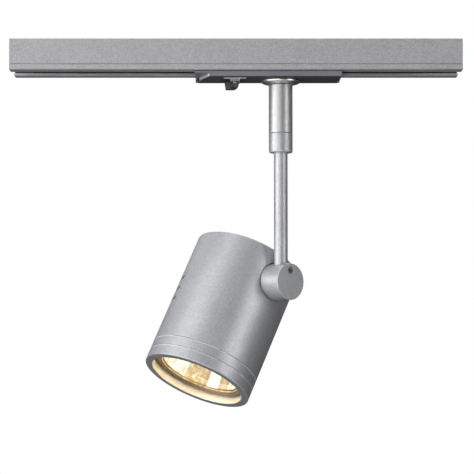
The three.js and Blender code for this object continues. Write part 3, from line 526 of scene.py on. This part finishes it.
def glowing(name, core, strength, where):
    """Lit quartz or tungsten: hottest where the noise is densest, and paler with it."""
    s = Surface(name)
    s.set(Base_Color=(*core, 1), Roughness=0.25)
    haze = s.noise(1, 3, vector=s.stretched((160, 160, 90), where))
    tone = s.ramp(haze, (0.3, scaled(core, 0.7)), (0.7, core))
    s.link(tone, s.shader.inputs["Emission Color"])
    power = s.spread(haze, strength * 0.7, strength * 1.3, 0.3, 0.7)
    s.link(power, s.shader.inputs["Emission Strength"])
    s.rough(s.spread(haze, 0.15, 0.35, 0.3, 0.7))
    return s.material


SILVER = (0.48, 0.485, 0.505)
finish = {
    "track_paint": powder_coat("track_paint", (0.395, 0.39, 0.405), 0.55, 0.4, 3000, 0.16),
    "silver_paint": powder_coat("silver_paint", SILVER, 0.45, 0.65, 2600, 0.12),
    "adapter_grey": moulded("adapter_grey", (0.19, 0.205, 0.225), 0.42),
    "adapter_dark": moulded("adapter_dark", (0.075, 0.075, 0.078), 0.45),
    "insert_black": moulded("insert_black", (0.02, 0.02, 0.021), 0.5),
    "lever_grey": moulded("lever_grey", (0.50, 0.50, 0.515), 0.5),
    "insulation_white": moulded("insulation_white", (0.72, 0.72, 0.69), 0.45),
    "satin_nickel": powder_coat("satin_nickel", (0.505, 0.505, 0.502), 0.44, 0.8, 2600, 0.08),
    "bright_nickel": metal(
        "bright_nickel", (0.88, 0.875, 0.86), 0.36, (900, 900, 12000), depth=0.000001
    ),
    "zinc_steel": metal("zinc_steel", (0.68, 0.69, 0.70), 0.28, (700, 700, 700)),
    "black_steel": metal("black_steel", (0.34, 0.34, 0.35), 0.45, (900, 900, 900)),
    "brass": metal("brass", (0.78, 0.58, 0.26), 0.3, (600, 600, 600)),
    "copper": metal("copper", (0.80, 0.44, 0.28), 0.32, (60, 6000, 6000), tarnish=0.75),
    "fibre": moulded("fibre", (0.10, 0.07, 0.055), 0.75, 1500),
    "ceramic": glazed("ceramic", (0.82, 0.80, 0.74)),
    "bronze_ring": metal("bronze_ring", (0.40, 0.30, 0.18), 0.34, (500, 500, 500), HEAD),
    "lamp_glass": clear_glass("lamp_glass", (0.99, 0.99, 0.985)),
    "lead_sheath": sheath("lead_sheath", (0.78, 0.77, 0.73)),
    "wire_brown": sheath("wire_brown", (0.20, 0.09, 0.045)),
    "wire_blue": sheath("wire_blue", (0.05, 0.17, 0.45)),
    "wire_earth": sheath("wire_earth", (0.16, 0.42, 0.07), stripe=(0.8, 0.72, 0.08)),
    # The reflector's facets carry a painted reflection of the burner's light.
    "lamp_mirror": mirror_with_painted_reflections("lamp_mirror", (0.26, 0.22, 0.15), 1.3),
    "quartz": glowing("quartz", (0.88, 0.50, 0.12), 1.0, HEAD),
}


# ---------------------------------------------------------------- CAD nodes that stay
def softening():
    """A node group that welds a CAD mesh and shades its round faces smooth."""
    tree = bpy.data.node_groups.new("soften", "GeometryNodeTree")
    tree.interface.new_socket("Geometry", in_out="INPUT", socket_type="NodeSocketGeometry")
    tree.interface.new_socket("Geometry", in_out="OUTPUT", socket_type="NodeSocketGeometry")
    start = tree.nodes.new("NodeGroupInput")
    end = tree.nodes.new("NodeGroupOutput")
    bare = tree.nodes.new("GeometryNodeRemoveAttribute")
    bare.inputs["Name"].default_value = "custom_normal"
    weld = tree.nodes.new("GeometryNodeMergeByDistance")
    weld.inputs["Distance"].default_value = 1e-6
    smooth = tree.nodes.new("GeometryNodeSetShadeSmooth")
    smooth.domain = "FACE"
    angle = tree.nodes.new("GeometryNodeInputMeshEdgeAngle")
    sharp = tree.nodes.new("FunctionNodeCompare")
    sharp.operation = "GREATER_THAN"
    sharp.inputs["B"].default_value = SHARP
    crease = tree.nodes.new("GeometryNodeSetShadeSmooth")
    crease.domain = "EDGE"
    crease.inputs["Shade Smooth"].default_value = False
    tree.links.new(start.outputs[0], bare.inputs["Geometry"])
    tree.links.new(bare.outputs["Geometry"], weld.inputs["Geometry"])
    tree.links.new(weld.outputs["Geometry"], smooth.inputs["Geometry"])
    tree.links.new(smooth.outputs["Geometry"], crease.inputs["Geometry"])
    tree.links.new(angle.outputs["Unsigned Angle"], sharp.inputs["A"])
    tree.links.new(sharp.outputs["Result"], crease.inputs["Selection"])
    tree.links.new(crease.outputs["Geometry"], end.inputs[0])
    return tree


soften = softening()


def dress(node, material):
    """A CAD node keeps its mesh and gets its finish, smooth round faces and softened edges."""
    piece = nodes[node]
    piece.data.materials.clear()
    piece.data.materials.append(material)
    modifier = piece.modifiers.new("soften", "NODES")
    modifier.node_group = soften
    bevel = piece.modifiers.new("bevel", "BEVEL")
    bevel.width = SOFT_EDGE
    bevel.segments = 2
    bevel.limit_method = "ANGLE"
    bevel.angle_limit = SHARP


slots = {part["node"]: part["material_slot"] for part in frame["record"]["subparts"]}
for node in nodes:
    dress(node, finish[slots[node]])
# The corner spring is bright strip, rougher than the plated fasteners that share its slot.
spring_strip = metal("spring_strip", (0.92, 0.92, 0.93), 0.6, (900, 900, 900))
nodes["corner_spring"].data.materials[0] = spring_strip


# ---------------------------------------------------------------- track
TRACK_SLOT = 7.5 * MM  # half the width of the slot that the adapter goes in by
TRACK_WALL, TRACK_WEB = 1.6 * MM, 1.8 * MM
TRACK_GROOVE, TRACK_GROOVE_FLOOR = 0.5 * MM, -14.9 * MM  # the fine groove along each side


def build_track():
    """The extrusion: a channel with rounded edges and a fine groove along each side."""
    low, high = span("track_profile")
    side, base = high.y, low.z
    slot, wall, groove, groove_z = TRACK_SLOT, TRACK_WALL, TRACK_GROOVE, TRACK_GROOVE_FLOOR
    top, lip, foot, inside = 0.35 * MM, 0.08 * MM, 1.0 * MM, 0.3 * MM  # the rounds
    right = [
        (side, high.z, top),
        (side, groove_z + groove, lip),
        (side - groove, groove_z + groove),
        (side - groove, groove_z),
        (side, groove_z, lip),
        (side, base, foot),
        (slot, base, inside),
        (slot, base + wall, inside),
        (side - wall, base + wall, inside),
        (side - wall, high.z - TRACK_WEB, inside),
    ]
    left = [(-c[0], *c[1:]) for c in reversed(right)]
    along = place(Vector((0, 1, 0)), UP, Vector((1, 0, 0)), Vector())
    body = extruded("track_body", right + left, low.x, high.x, along)
    stands_for(body, "track", "track_paint", finish["track_paint"], "track_profile")


build_track()


# ---------------------------------------------------------------- swivel and stem
def build_rosette():
    """A shallow dome, fuller than an ellipse, that swells from its rim to the sleeve."""
    low, high = span("rosette")
    bore, crown, steps, fullness = 4.3 * MM, 5 * MM, 16, 2.7
    outline = [(bore, high.z)]
    for i in range(steps + 1):
        angle = math.radians(90) * i / steps
        out = math.cos(angle) ** (2 / fullness)
        down = math.sin(angle) ** (2 / fullness)
        outline.append((crown + (high.x - crown) * out, high.z + (low.z - high.z) * down))
    outline.append((bore, low.z))
    piece = turned("rosette_dome", outline, segments=SMALL_SEGMENTS)
    stands_for(piece, "adapter", "bright_nickel", finish["bright_nickel"], "rosette")


SPIGOT = 5.4 * MM  # the collar's spigot, which turns in the sleeve's chamber
CHAMBER = SPIGOT + CLEAR
WIREWAY = 2.7 * MM


def build_sleeve():
    """The sleeve, with its chamber, the circlip's groove and the lug of the swivel's stop."""
    low, high = span("swivel_sleeve")
    nipple_low, nipple_high = span("swivel_nipple")
    clip_low, clip_high = span("swivel_circlip")
    bore = nipple_high.x + CLEAR
    chamber_top = nipple_low.z - CLEAR
    groove = -clip_low.x + 0.2 * MM
    outline = [
        (bore, high.z),
        (high.x, high.z, 0.3 * MM),
        (high.x, low.z, 0.12 * MM),
        (CHAMBER, low.z, 0.12 * MM),
        (CHAMBER, clip_low.z - CLEAR),
        (groove, clip_low.z - CLEAR),
        (groove, clip_high.z + CLEAR),
        (CHAMBER, clip_high.z + CLEAR),
        (CHAMBER, chamber_top),
        (bore, chamber_top),
    ]
    piece = turned("sleeve_turned", outline, segments=SMALL_SEGMENTS)
    lug_out, lug_in, lug_half = -CHAMBER - 0.2 * MM, -3.4 * MM, 0.4 * MM
    corners = [(lug_out, -lug_half), (lug_in, -lug_half), (lug_in, lug_half), (lug_out, lug_half)]
    lug_low = span("swivel_collar")[1].z + 0.5 * MM
    joined(piece, extruded("tool", corners, lug_low, chamber_top + 0.2 * MM))
    stands_for(piece, "adapter", "satin_nickel", finish["satin_nickel"], "swivel_sleeve")


def build_collar():
    """The collar, whose spigot carries the circlip's groove and the stop pin's hole."""
    low, high = span("swivel_collar")
    clip_low, clip_high = span("swivel_circlip")
    stem_high = span("stem_tube")[1]
    seam = span("swivel_sleeve")[0].z - CLEAR
    socket, socket_top = stem_high.x + CLEAR, stem_high.z + CLEAR
    groove = 4.6 * MM
    outline = [
        (WIREWAY, high.z),
        (SPIGOT, high.z, 0.2 * MM),
        (SPIGOT, clip_high.z + CLEAR),
        (groove, clip_high.z + CLEAR),
        (groove, clip_low.z - CLEAR),
        (SPIGOT, clip_low.z - CLEAR),
        (SPIGOT, seam),
        (high.x, seam, 0.12 * MM),
        (high.x, low.z, 0.8 * MM),
        (socket, low.z, 0.15 * MM),
        (socket, socket_top),
        (WIREWAY, socket_top),
    ]
    piece = turned("collar_turned", outline, segments=SMALL_SEGMENTS)
    pin_low, pin_high = span("swivel_stop_pin")
    pin = (pin_high.y - pin_low.y) / 2 + CLEAR
    at = middle_of("swivel_stop_pin")
    cut(piece, rod(pin, pin_low.z - CLEAR, high.z + 1 * MM, at=(at.x, at.y)))
    stands_for(piece, "stem", "silver_paint", finish["silver_paint"], "swivel_collar")


def build_stem():
    low, high = span("stem_tube")
    bore = 2.9 * MM
    outline = [(bore, high.z), (high.x, high.z, 0.2 * MM), (high.x, low.z, 0.2 * MM), (bore, low.z)]
    piece = turned("stem_rod", outline, segments=SMALL_SEGMENTS)
    stands_for(piece, "stem", "silver_paint", finish["silver_paint"], "stem_tube")


def build_barrel():
    """The knuckle, bored for the stem, lead, pivot nipple, grub screw and stop pin."""
    low, high = span("knuckle_barrel", KNUCKLE)
    radius = high.y
    outline = [
        (0, low.z),
        (radius, low.z, 0.4 * MM),
        (radius, high.z, 0.45 * MM),
        (0, high.z),
    ]
    piece = turned("knuckle_turned", outline, KNUCKLE)
    stem_low, stem_high = span("stem_tube")
    floor = stem_low.z - PIVOT.z - CLEAR
    stem_socket = rod(stem_high.x + CLEAR, floor, radius + 2 * MM, RISE)
    passage = rod(WIREWAY, -WIREWAY, floor + 1 * MM, RISE)
    wireway = rod(WIREWAY, low.z - 1 * MM, WIREWAY, KNUCKLE)
    nipple_high = span("pivot_nipple", KNUCKLE)[1]
    nipple_socket = rod(nipple_high.x + CLEAR, low.z - 1 * MM, nipple_high.z + CLEAR, KNUCKLE)
    pin_low, pin_high = span("tilt_stop_pin", KNUCKLE)
    pin_at = middle_of("tilt_stop_pin", KNUCKLE)
    pin = (pin_high.y - pin_low.y) / 2 + CLEAR
    pin_hole = rod(pin, low.z - 1 * MM, pin_high.z + CLEAR, KNUCKLE, (pin_at.x, pin_at.y))
    thread = span("grub_screw", KNUCKLE)[1].y + 0.4 * MM
    grub_at = middle_of("grub_screw", KNUCKLE)
    countersink = thread + 0.2 * MM
    bottom, mouth = stem_high.x - 1 * MM, high.z + 1 * MM
    section = [
        (0, bottom),
        (thread, bottom),
        (thread, high.z - 0.15 * MM),
        (countersink, high.z + 0.05 * MM),
        (countersink, mouth),
        (0, mouth),
    ]
    grub = turned("tool", section, KNUCKLE @ Matrix.Translation((grub_at.x, 0, 0)), 48)
    cut(piece, stem_socket, passage, wireway, nipple_socket, pin_hole, grub)
    stands_for(piece, "stem", "silver_paint", finish["silver_paint"], "knuckle_barrel")


build_rosette()
build_sleeve()
build_collar()
build_stem()
build_barrel()


# ---------------------------------------------------------------- head
def sector(name, inner, outer, middle, half, low, high, where, steps=40):
    """A tool for an arc-shaped slot: part of a ring, with round ends left square."""
    outline = []
    for radius, sign in ((outer, 1), (inner, -1)):
        for i in range(steps + 1):
            angle = middle + sign * half * (2 * i / steps - 1)
            outline.append((radius * math.cos(angle), radius * math.sin(angle)))
    return extruded(name, outline, low, high, where)


RECESS_FLAT = -6.5 * MM  # the flat that the knuckle turns against, on the tilt axis
RECESS_RADIUS = 11.3 * MM
SEAM = 0.08 * MM  # the gap between the shell and the front ring
VENTS = {"first": 13.1 * MM, "pitch": 7 * MM, "count": 3, "half": 0.95 * MM}
VENT_SPAN = math.radians(71)  # how far a vent runs to each side of the back
HEAD_SHOULDER, HEAD_WALL, HEAD_ROOF = 30.6 * MM, 2.2 * MM, 3 * MM
BOSS, BOSS_HEIGHT, THREAD = 3 * MM, 1.5 * MM, 1.7 * MM  # the roof's screw bosses
PAD, PAD_DEPTH = 9.5 * MM, -9.5 * MM  # the thick spot behind the knuckle's recess
BORE_END = -16.7 * MM


def stop_slot():
    """The arc that the tilt stop's pin runs in: the joint's range, with a margin at each end."""
    margin = math.radians(8)
    least, most = (math.radians(limit) for limit in joints["head_tilt"]["range_deg"])
    start, end = math.pi - most - margin, math.pi - least + margin
    pin_low, pin_high = span("tilt_stop_pin", KNUCKLE)
    orbit = -middle_of("tilt_stop_pin", KNUCKLE).x
    reach = (pin_high.y - pin_low.y) / 2 + CLEAR
    middle, half = (start + end) / 2, (end - start) / 2
    low, high = pin_low.z - CLEAR, RECESS_FLAT + 1 * MM
    return sector("tool", orbit - reach, orbit + reach, middle, half, low, high, KNUCKLE)


def vent(index, inner, outer):
    centre = VENTS["first"] + index * VENTS["pitch"]
    low, high = centre - VENTS["half"], centre + VENTS["half"]
    return sector("tool", inner, outer, math.pi, VENT_SPAN, low, high, HEAD)


def build_housing():
    """The shell, with the knuckle's recess and pad, the stop's slot, vents and roof bosses."""
    low, high = span("head_housing", HEAD)
    ring_low, ring_high = span("front_ring", HEAD)
    radius = ring_high.x
    seam = ring_low.z - CLEAR
    shoulder, inner, roof = HEAD_SHOULDER, radius - HEAD_WALL, low.z + HEAD_ROOF
    outline = [
        (0, low.z),
        (radius, low.z, 1.1 * MM),
        (radius, seam, 0.05 * MM),
        (shoulder, seam),
        (shoulder, high.z, 0.2 * MM),
        (inner, high.z, 0.2 * MM),
        (inner, roof, 0.6 * MM),
        (0, roof),
    ]
    piece = turned("head_shell", outline, HEAD)
    screws = ("bracket_screw_left", "bracket_screw_right", "earth_screw")
    places = [middle_of(screw, HEAD) for screw in screws]
    boss_top = roof + BOSS_HEIGHT
    bosses = [rod(BOSS, roof - 0.5 * MM, boss_top, HEAD, (at.x, at.y)) for at in places]
    pad = rod(PAD, PAD_DEPTH, RECESS_FLAT + 0.1 * MM, KNUCKLE)
    joined(piece, pad, *bosses)
    recess = rod(RECESS_RADIUS, RECESS_FLAT, 4 * MM, KNUCKLE, segments=SEGMENTS)
    nipple = span("pivot_nipple", KNUCKLE)[1].x + CLEAR
    bore = rod(nipple, BORE_END, RECESS_FLAT + 1 * MM, KNUCKLE)
    vents = [vent(i, inner - 1 * MM, radius + 1 * MM) for i in range(VENTS["count"])]
    threads = [
        rod(THREAD, roof - 0.4 * MM, boss_top + 1 * MM, HEAD, (at.x, at.y), 32) for at in places
    ]
    cut(piece, recess, bore, stop_slot(), *vents, *threads)
    stands_for(piece, "head", "silver_paint", finish["silver_paint"], "head_housing")


RING_BORE, RING_SKIRT, RING_WEB = 27.65 * MM, 30.9 * MM, 60.4 * MM
RING_GROOVE = 59.4 * MM
PAINTED_EDGE_HIGHLIGHT = 1.0  # how far the ring's upper edge and its groove's lower edge are lightened: a painted highlight


def build_ring():
    """The front ring. Its upper edge and its groove's lower edge are rounded to catch light, and carry a painted
    highlight.
    """
    low, high = span("front_ring", HEAD)
    radius, rim = high.x, high.z
    top = low.z - CLEAR + SEAM  # screwed home, it all but touches the shell
    bore, web, skirt, groove = RING_BORE, RING_WEB, RING_SKIRT, RING_GROOVE
    half, deep = 0.3 * MM, 0.5 * MM
    outline = [
        (skirt, top),
        # The upper edge and the groove's lower edge carry a painted highlight.
        (radius, top, 0.65 * MM, PAINTED_EDGE_HIGHLIGHT),
        (radius, groove - half, 0.08 * MM),
        (radius - deep, groove - half),
        (radius - deep, groove + half - 0.15 * MM),
        (radius, groove + half - 0.15 * MM, 0.45 * MM, PAINTED_EDGE_HIGHLIGHT),
        (radius, rim, 0.55 * MM),
        (bore, rim, 0.45 * MM),
        (bore, web, 0.2 * MM),
        (skirt, web),
    ]
    piece = turned("front_bezel", outline, HEAD)
    stands_for(piece, "ring", "silver_paint", finish["silver_paint"], "front_ring")


RETAINER_BORE = 23.9 * MM


def build_retainer():
    """The spring ring that holds the lamp, with a raised bead inside its edge."""
    low, high = span("lamp_retainer", HEAD)
    outer, inner = high.x, RETAINER_BORE
    outline = [
        (inner, low.z, 0.15 * MM),
        (inner, high.z - 0.15 * MM, 0.15 * MM),
        (inner + 0.5 * MM, high.z, 0.3 * MM),
        (inner + 1.1 * MM, high.z - 0.35 * MM, 0.4 * MM),
        (outer - 0.7 * MM, high.z - 0.3 * MM, 0.4 * MM),
        (outer, high.z, 0.15 * MM),
        (outer, low.z, 0.15 * MM),
    ]
    piece = turned("retaining_spring_ring", outline, HEAD)
    stands_for(piece, "ring", "bronze_ring", finish["bronze_ring"], "lamp_retainer")


build_housing()
build_ring()
build_retainer()


# ---------------------------------------------------------------- lamp
FACET_COLUMNS = 20
FACET_ROWS = 5
FACET_GRID = 6  # small quads along each side of a facet
# The painted reflection on each column of facets: how brightly it glows with the burner's light; dim ones stand in
# for the bowl mirrored.
COLUMN_PAINTED_REFLECTION = [0.98, 0.56, 0.5, 1.15, 0.42, 0.85, 0.5, 0.66, 0.74, 0.94]
RIM_PAINTED_GLOW = 0.55  # painted glow on the faces by the rim, for light that leaks through the edge of the glass
# Each bowl is an arc of an ellipse: radii across and along, its centre's height and its start.
INSIDE = {"across": 23.3, "along": 27.6, "centre": 58.4, "start": -74.6}
OUTSIDE = {"across": 24.2, "along": 30, "centre": 55.8, "start": -59, "steps": 8}
SEAT = 24.3 * MM  # the radius of the step that the glass sits in
CROWN = 0.22 * MM  # how far the middle of a facet stands out
FACET_CREASE = math.radians(12)  # facets meet more sharply than this


def bowl_point(u):
    """The reflector's inside, from its neck at u = 0 to its mouth at u = 1, as (radius, height)."""
    angle = math.radians(INSIDE["start"] * (1 - u))
    height = (INSIDE["centre"] + INSIDE["along"] * math.sin(angle)) * MM
    return INSIDE["across"] * MM * math.cos(angle), height


def build_reflector():
    """The bowl: facets inside, each glowing with its own painted reflection, and a seat, rim, outside and neck,
    with a painted glow on the faces by the rim.
    """
    low, high = span("lamp_reflector", HEAD)
    front, outer = high.z, high.x
    dice = random.Random(7)
    facet_painted_reflection = [
        COLUMN_PAINTED_REFLECTION[column % len(COLUMN_PAINTED_REFLECTION)] * dice.uniform(0.85, 1.12)
        for column in range(FACET_COLUMNS) for _ in range(FACET_ROWS)
    ]
    # Each narrow column's painted reflection is a little brighter or dimmer at random.
    streaks = [dice.uniform(0.85, 1.1) for _ in range(FACET_COLUMNS * FACET_GRID)]
    vertices, faces, painted_glow_per_face = [], [], []
    columns = FACET_COLUMNS * FACET_GRID
    rows = FACET_ROWS * FACET_GRID
    for r in range(rows + 1):
        row_part = r % FACET_GRID
        radius, height = bowl_point(r / rows)
        for c in range(columns):
            part = (c % FACET_GRID) / FACET_GRID
            across = math.radians(180 / FACET_COLUMNS)
            # Between two columns the radius follows the chord, with a little crown.
            chord = math.cos(across) / math.cos(across * (2 * part - 1))
            along = math.sin(math.pi * row_part / FACET_GRID)
            crown = CROWN * math.sin(math.pi * part) * along
            angle = 2 * math.pi * c / columns
            flat = radius * (0.35 + 0.65 * chord) - crown
            vertices.append((flat * math.cos(angle), flat * math.sin(angle), height))
    for r in range(rows):
        this, above = r * columns, (r + 1) * columns
        for c in range(columns):
            d = (c + 1) % columns
            faces.append([this + c, this + d, above + d, above + c])
            painted_glow_per_face.append(streaks[c] * facet_painted_reflection[c // FACET_GRID * FACET_ROWS + r // FACET_GRID])
    # The seat of the glass, the rim, the outside and the neck close the shell.
    mouth, neck = bowl_point(1), bowl_point(0)
    back = [
        (SEAT, mouth[1]),
        (SEAT, front - 0.1 * MM),
        (SEAT + 0.15 * MM, front),
        (outer - 0.3 * MM, front),
        (outer, front - 0.3 * MM),
        (outer, front - 2.8 * MM),
    ]
    for i in range(OUTSIDE["steps"] + 1):
        angle = math.radians(OUTSIDE["start"] * i / OUTSIDE["steps"])
        height = (OUTSIDE["centre"] + OUTSIDE["along"] * math.sin(angle)) * MM
        back.append((OUTSIDE["across"] * MM * math.cos(angle), height))
    back += [(back[-1][0], low.z), (neck[0], low.z)]
    previous = rows * columns
    for radius, height in back:
        start = len(vertices)
        for c in range(columns):
            angle = 2 * math.pi * c / columns
            vertices.append((radius * math.cos(angle), radius * math.sin(angle), height))
        for c in range(columns):
            d = (c + 1) % columns
            faces.append([previous + c, previous + d, start + d, start + c])
            # The faces by the rim get a painted glow; the rest of the outside gets none.
            painted_glow_per_face.append(RIM_PAINTED_GLOW if height > front - 1 * MM else 0.0)
        previous = start
    for c in range(columns):
        d = (c + 1) % columns
        faces.append([previous + c, previous + d, d, c])
        painted_glow_per_face.append(0.0)
    mesh = bpy.data.meshes.new("lamp_bowl")
    mesh.from_pydata(vertices, [], faces)
    mesh.transform(HEAD)
    # Each face's glow is its painted reflection or painted glow.
    glow = mesh.attributes.new("glow", "FLOAT", "FACE")
    glow.data.foreach_set("value", painted_glow_per_face)
    piece = bpy.data.objects.new("lamp_bowl", mesh)
    bpy.context.scene.collection.objects.link(piece)
    work = bmesh.new()
    work.from_mesh(mesh)
    bmesh.ops.recalc_face_normals(work, faces=work.faces)
    work.to_mesh(mesh)
    work.free()
    mesh.shade_smooth()
    mesh.set_sharp_from_angle(angle=FACET_CREASE)
    stands_for(piece, "lamp", "lamp_mirror", finish["lamp_mirror"], "lamp_reflector")


def build_glass():
    """The cover glass, very slightly domed towards its edge."""
    low, high = span("lamp_glass", HEAD)
    radius = high.x
    outline = [
        (0, low.z),
        (radius, low.z, 0.2 * MM),
        (radius, high.z - 0.25 * MM, 0.2 * MM),
        (radius - 0.9 * MM, high.z - 0.2 * MM, 0.5 * MM),
        (radius - 3 * MM, high.z - 0.05 * MM, 2 * MM),
        (0, high.z),
    ]
    piece = turned("cover_glass", outline, HEAD)
    stands_for(piece, "lamp", "lamp_glass", finish["lamp_glass"], "lamp_glass")


def build_capsule():
    """The quartz burner: a pinched foot, a bulb and a drawn tip."""
    low, high = span("lamp_capsule", HEAD)
    radius = high.y
    foot = radius * 0.92
    outline = [
        (0, low.z),
        (foot, low.z, 0.3 * MM),
        (foot, low.z + 3 * MM, 1 * MM),
        (radius, low.z + 6 * MM, 2 * MM),
        (radius, high.z - 1.6 * MM, 2.2 * MM),
        (1.6 * MM, high.z - 0.6 * MM, 0.8 * MM),
        (1.0 * MM, high.z, 0.4 * MM),
        (0, high.z),
    ]
    piece = turned("quartz_capsule", outline, HEAD, SMALL_SEGMENTS)
    stands_for(piece, "lamp", "quartz", finish["quartz"], "lamp_capsule")


build_reflector()
build_glass()
build_capsule()


# ---------------------------------------------------------------- room, light and camera
def area_light(name, at, target, width, height, power):
    data = bpy.data.lights.new(name, "AREA")
    data.shape = "RECTANGLE"
    data.size, data.size_y = width, height
    data.energy = power
    light = bpy.data.objects.new(name, data)
    light.location = at
    light.rotation_euler = (Vector(target) - Vector(at)).to_track_quat("-Z", "Y").to_euler()
    bpy.context.scene.collection.objects.link(light)


def around(centre, azimuth, elevation, distance):
    """A point seen from the centre at an azimuth, 0 towards the camera and 90 to its right."""
    a, e = math.radians(azimuth), math.radians(elevation)
    out = Vector((math.sin(a) * math.cos(e), -math.cos(a) * math.cos(e), math.sin(e)))
    return centre + out * distance


middle = (cad_low + cad_high) / 2
LIGHT_REACH = 1.0  # metres from the object's middle to each light
BEAM = {"width": 46 * MM, "height": 60.2 * MM, "watts": 0.09, "colour": (1.0, 0.74, 0.36)}
# The watts of each soft box, by its elevation and then by its azimuth, in degrees.
SOFT_BOXES = {
    45: {-120: 1.3, -60: 3.2, 0: 1.0, 60: 0.7, 180: 6.5},
    30: {-150: 0.6, 150: 2.2},
    8: {-75: 3.5, -45: 2.3, -15: 1.2},
    -30: {-75: 1.1, -45: 1.1, -15: 2.3},
    -60: {-80: 0.5, 60: 0.9},
}
for elevation, ring in SOFT_BOXES.items():
    side = 0.8 if abs(elevation) >= 45 else 0.5
    for azimuth, watts in ring.items():
        name = f"soft_box_{elevation}_{azimuth}"
        at = around(middle, azimuth, elevation, LIGHT_REACH)
        area_light(name, at, middle, side, side, watts)
area_light("right_strip", around(middle, 58, 0, LIGHT_REACH), middle, 0.28, 1.3, 4.3)


def build_beam():
    """The lamp's own warm light, from a disc just in front of its glass."""
    data = bpy.data.lights.new("lamp_light", "AREA")
    data.shape = "DISK"
    data.size = BEAM["width"]
    data.energy = BEAM["watts"]
    data.color = BEAM["colour"]
    beam = bpy.data.objects.new("lamp_beam", data)
    beam.location = HEAD @ Vector((0, 0, BEAM["height"]))
    beam.rotation_euler = LAMP_AXIS.to_track_quat("-Z", "Y").to_euler()
    bpy.context.scene.collection.objects.link(beam)
    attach(beam, "lamp")
    beam.visible_camera = False
    beam.visible_glossy = False
    beam.visible_transmission = False


build_beam()


def build_room():
    """A pale floor far below, inside a white backdrop that only the camera sees."""
    floor_mesh = bpy.data.meshes.new("floor")
    reach, drop = 4.5, -1.6
    corners = [(x * reach, y * reach, drop) for x, y in ((-1, -1), (1, -1), (1, 1), (-1, 1))]
    floor_mesh.from_pydata(corners, [], [(0, 1, 2, 3)])
    floor = bpy.data.objects.new("floor", floor_mesh)
    bpy.context.scene.collection.objects.link(floor)
    pale = Surface("pale_floor")
    pale.colour(pale.ramp(pale.noise(3, 3), (0.3, 0.82), (0.7, 0.86)))
    pale.set(Roughness=0.8, Emission_Color=(0.96, 0.96, 0.96, 1), Emission_Strength=1.0)
    floor_mesh.materials.append(pale.material)
    floor.visible_diffuse = False
    floor.visible_glossy = False
    bpy.ops.mesh.primitive_uv_sphere_add(segments=48, ring_count=24, radius=8, location=middle)
    dome = bpy.context.object
    dome.name = "backdrop"
    white = bpy.data.materials.new("backdrop_white")
    white.use_nodes = True
    tree = white.node_tree
    tree.nodes.clear()
    glow = tree.nodes.new("ShaderNodeEmission")
    out = tree.nodes.new("ShaderNodeOutputMaterial")
    tree.links.new(glow.outputs["Emission"], out.inputs["Surface"])
    dome.data.materials.append(white)
    dome.visible_diffuse = False
    dome.visible_glossy = False
    dome.visible_transmission = False
    dome.visible_shadow = False


def build_world():
    """Soft light from all round, paler above than below."""
    world = bpy.data.worlds.new("studio")
    bpy.context.scene.world = world
    world.use_nodes = True
    tree = world.node_tree
    back = tree.nodes["Background"]
    where = tree.nodes.new("ShaderNodeTexCoord")
    split = tree.nodes.new("ShaderNodeSeparateXYZ")
    ramp = tree.nodes.new("ShaderNodeValToRGB")
    shift = tree.nodes.new("ShaderNodeMapRange")
    tree.links.new(where.outputs["Generated"], split.inputs["Vector"])
    tree.links.new(split.outputs["Z"], shift.inputs["Value"])
    shift.inputs["From Min"].default_value = -1
    tree.links.new(shift.outputs["Result"], ramp.inputs["Fac"])
    elements = ramp.color_ramp.elements
    elements[0].position, elements[0].color = 0.3, (0.008, 0.0085, 0.009, 1)
    elements[1].position, elements[1].color = 0.8, (0.03, 0.03, 0.031, 1)
    tree.links.new(ramp.outputs["Color"], back.inputs["Color"])
    back.inputs["Strength"].default_value = 1.0


# Fitted to the outlines in the photo. It stands in front, below the pivot, and looks slightly up.
CAMERA_AT = (-25.4 * MM, -1070.3 * MM, -170.4 * MM)
CAMERA_RISE = 0.0535  # radians above level
SENSOR, LENS = 36, 140.5  # millimetres


def build_camera():
    data = bpy.data.cameras.new("camera")
    data.sensor_width = SENSOR
    data.lens = LENS
    camera = bpy.data.objects.new("camera", data)
    camera.location = CAMERA_AT
    camera.rotation_euler = (math.radians(90) + CAMERA_RISE, 0, 0)
    bpy.context.scene.collection.objects.link(camera)
    bpy.context.scene.camera = camera


build_room()
build_world()
build_camera()
bpy.context.scene.view_settings.view_transform = "Standard"
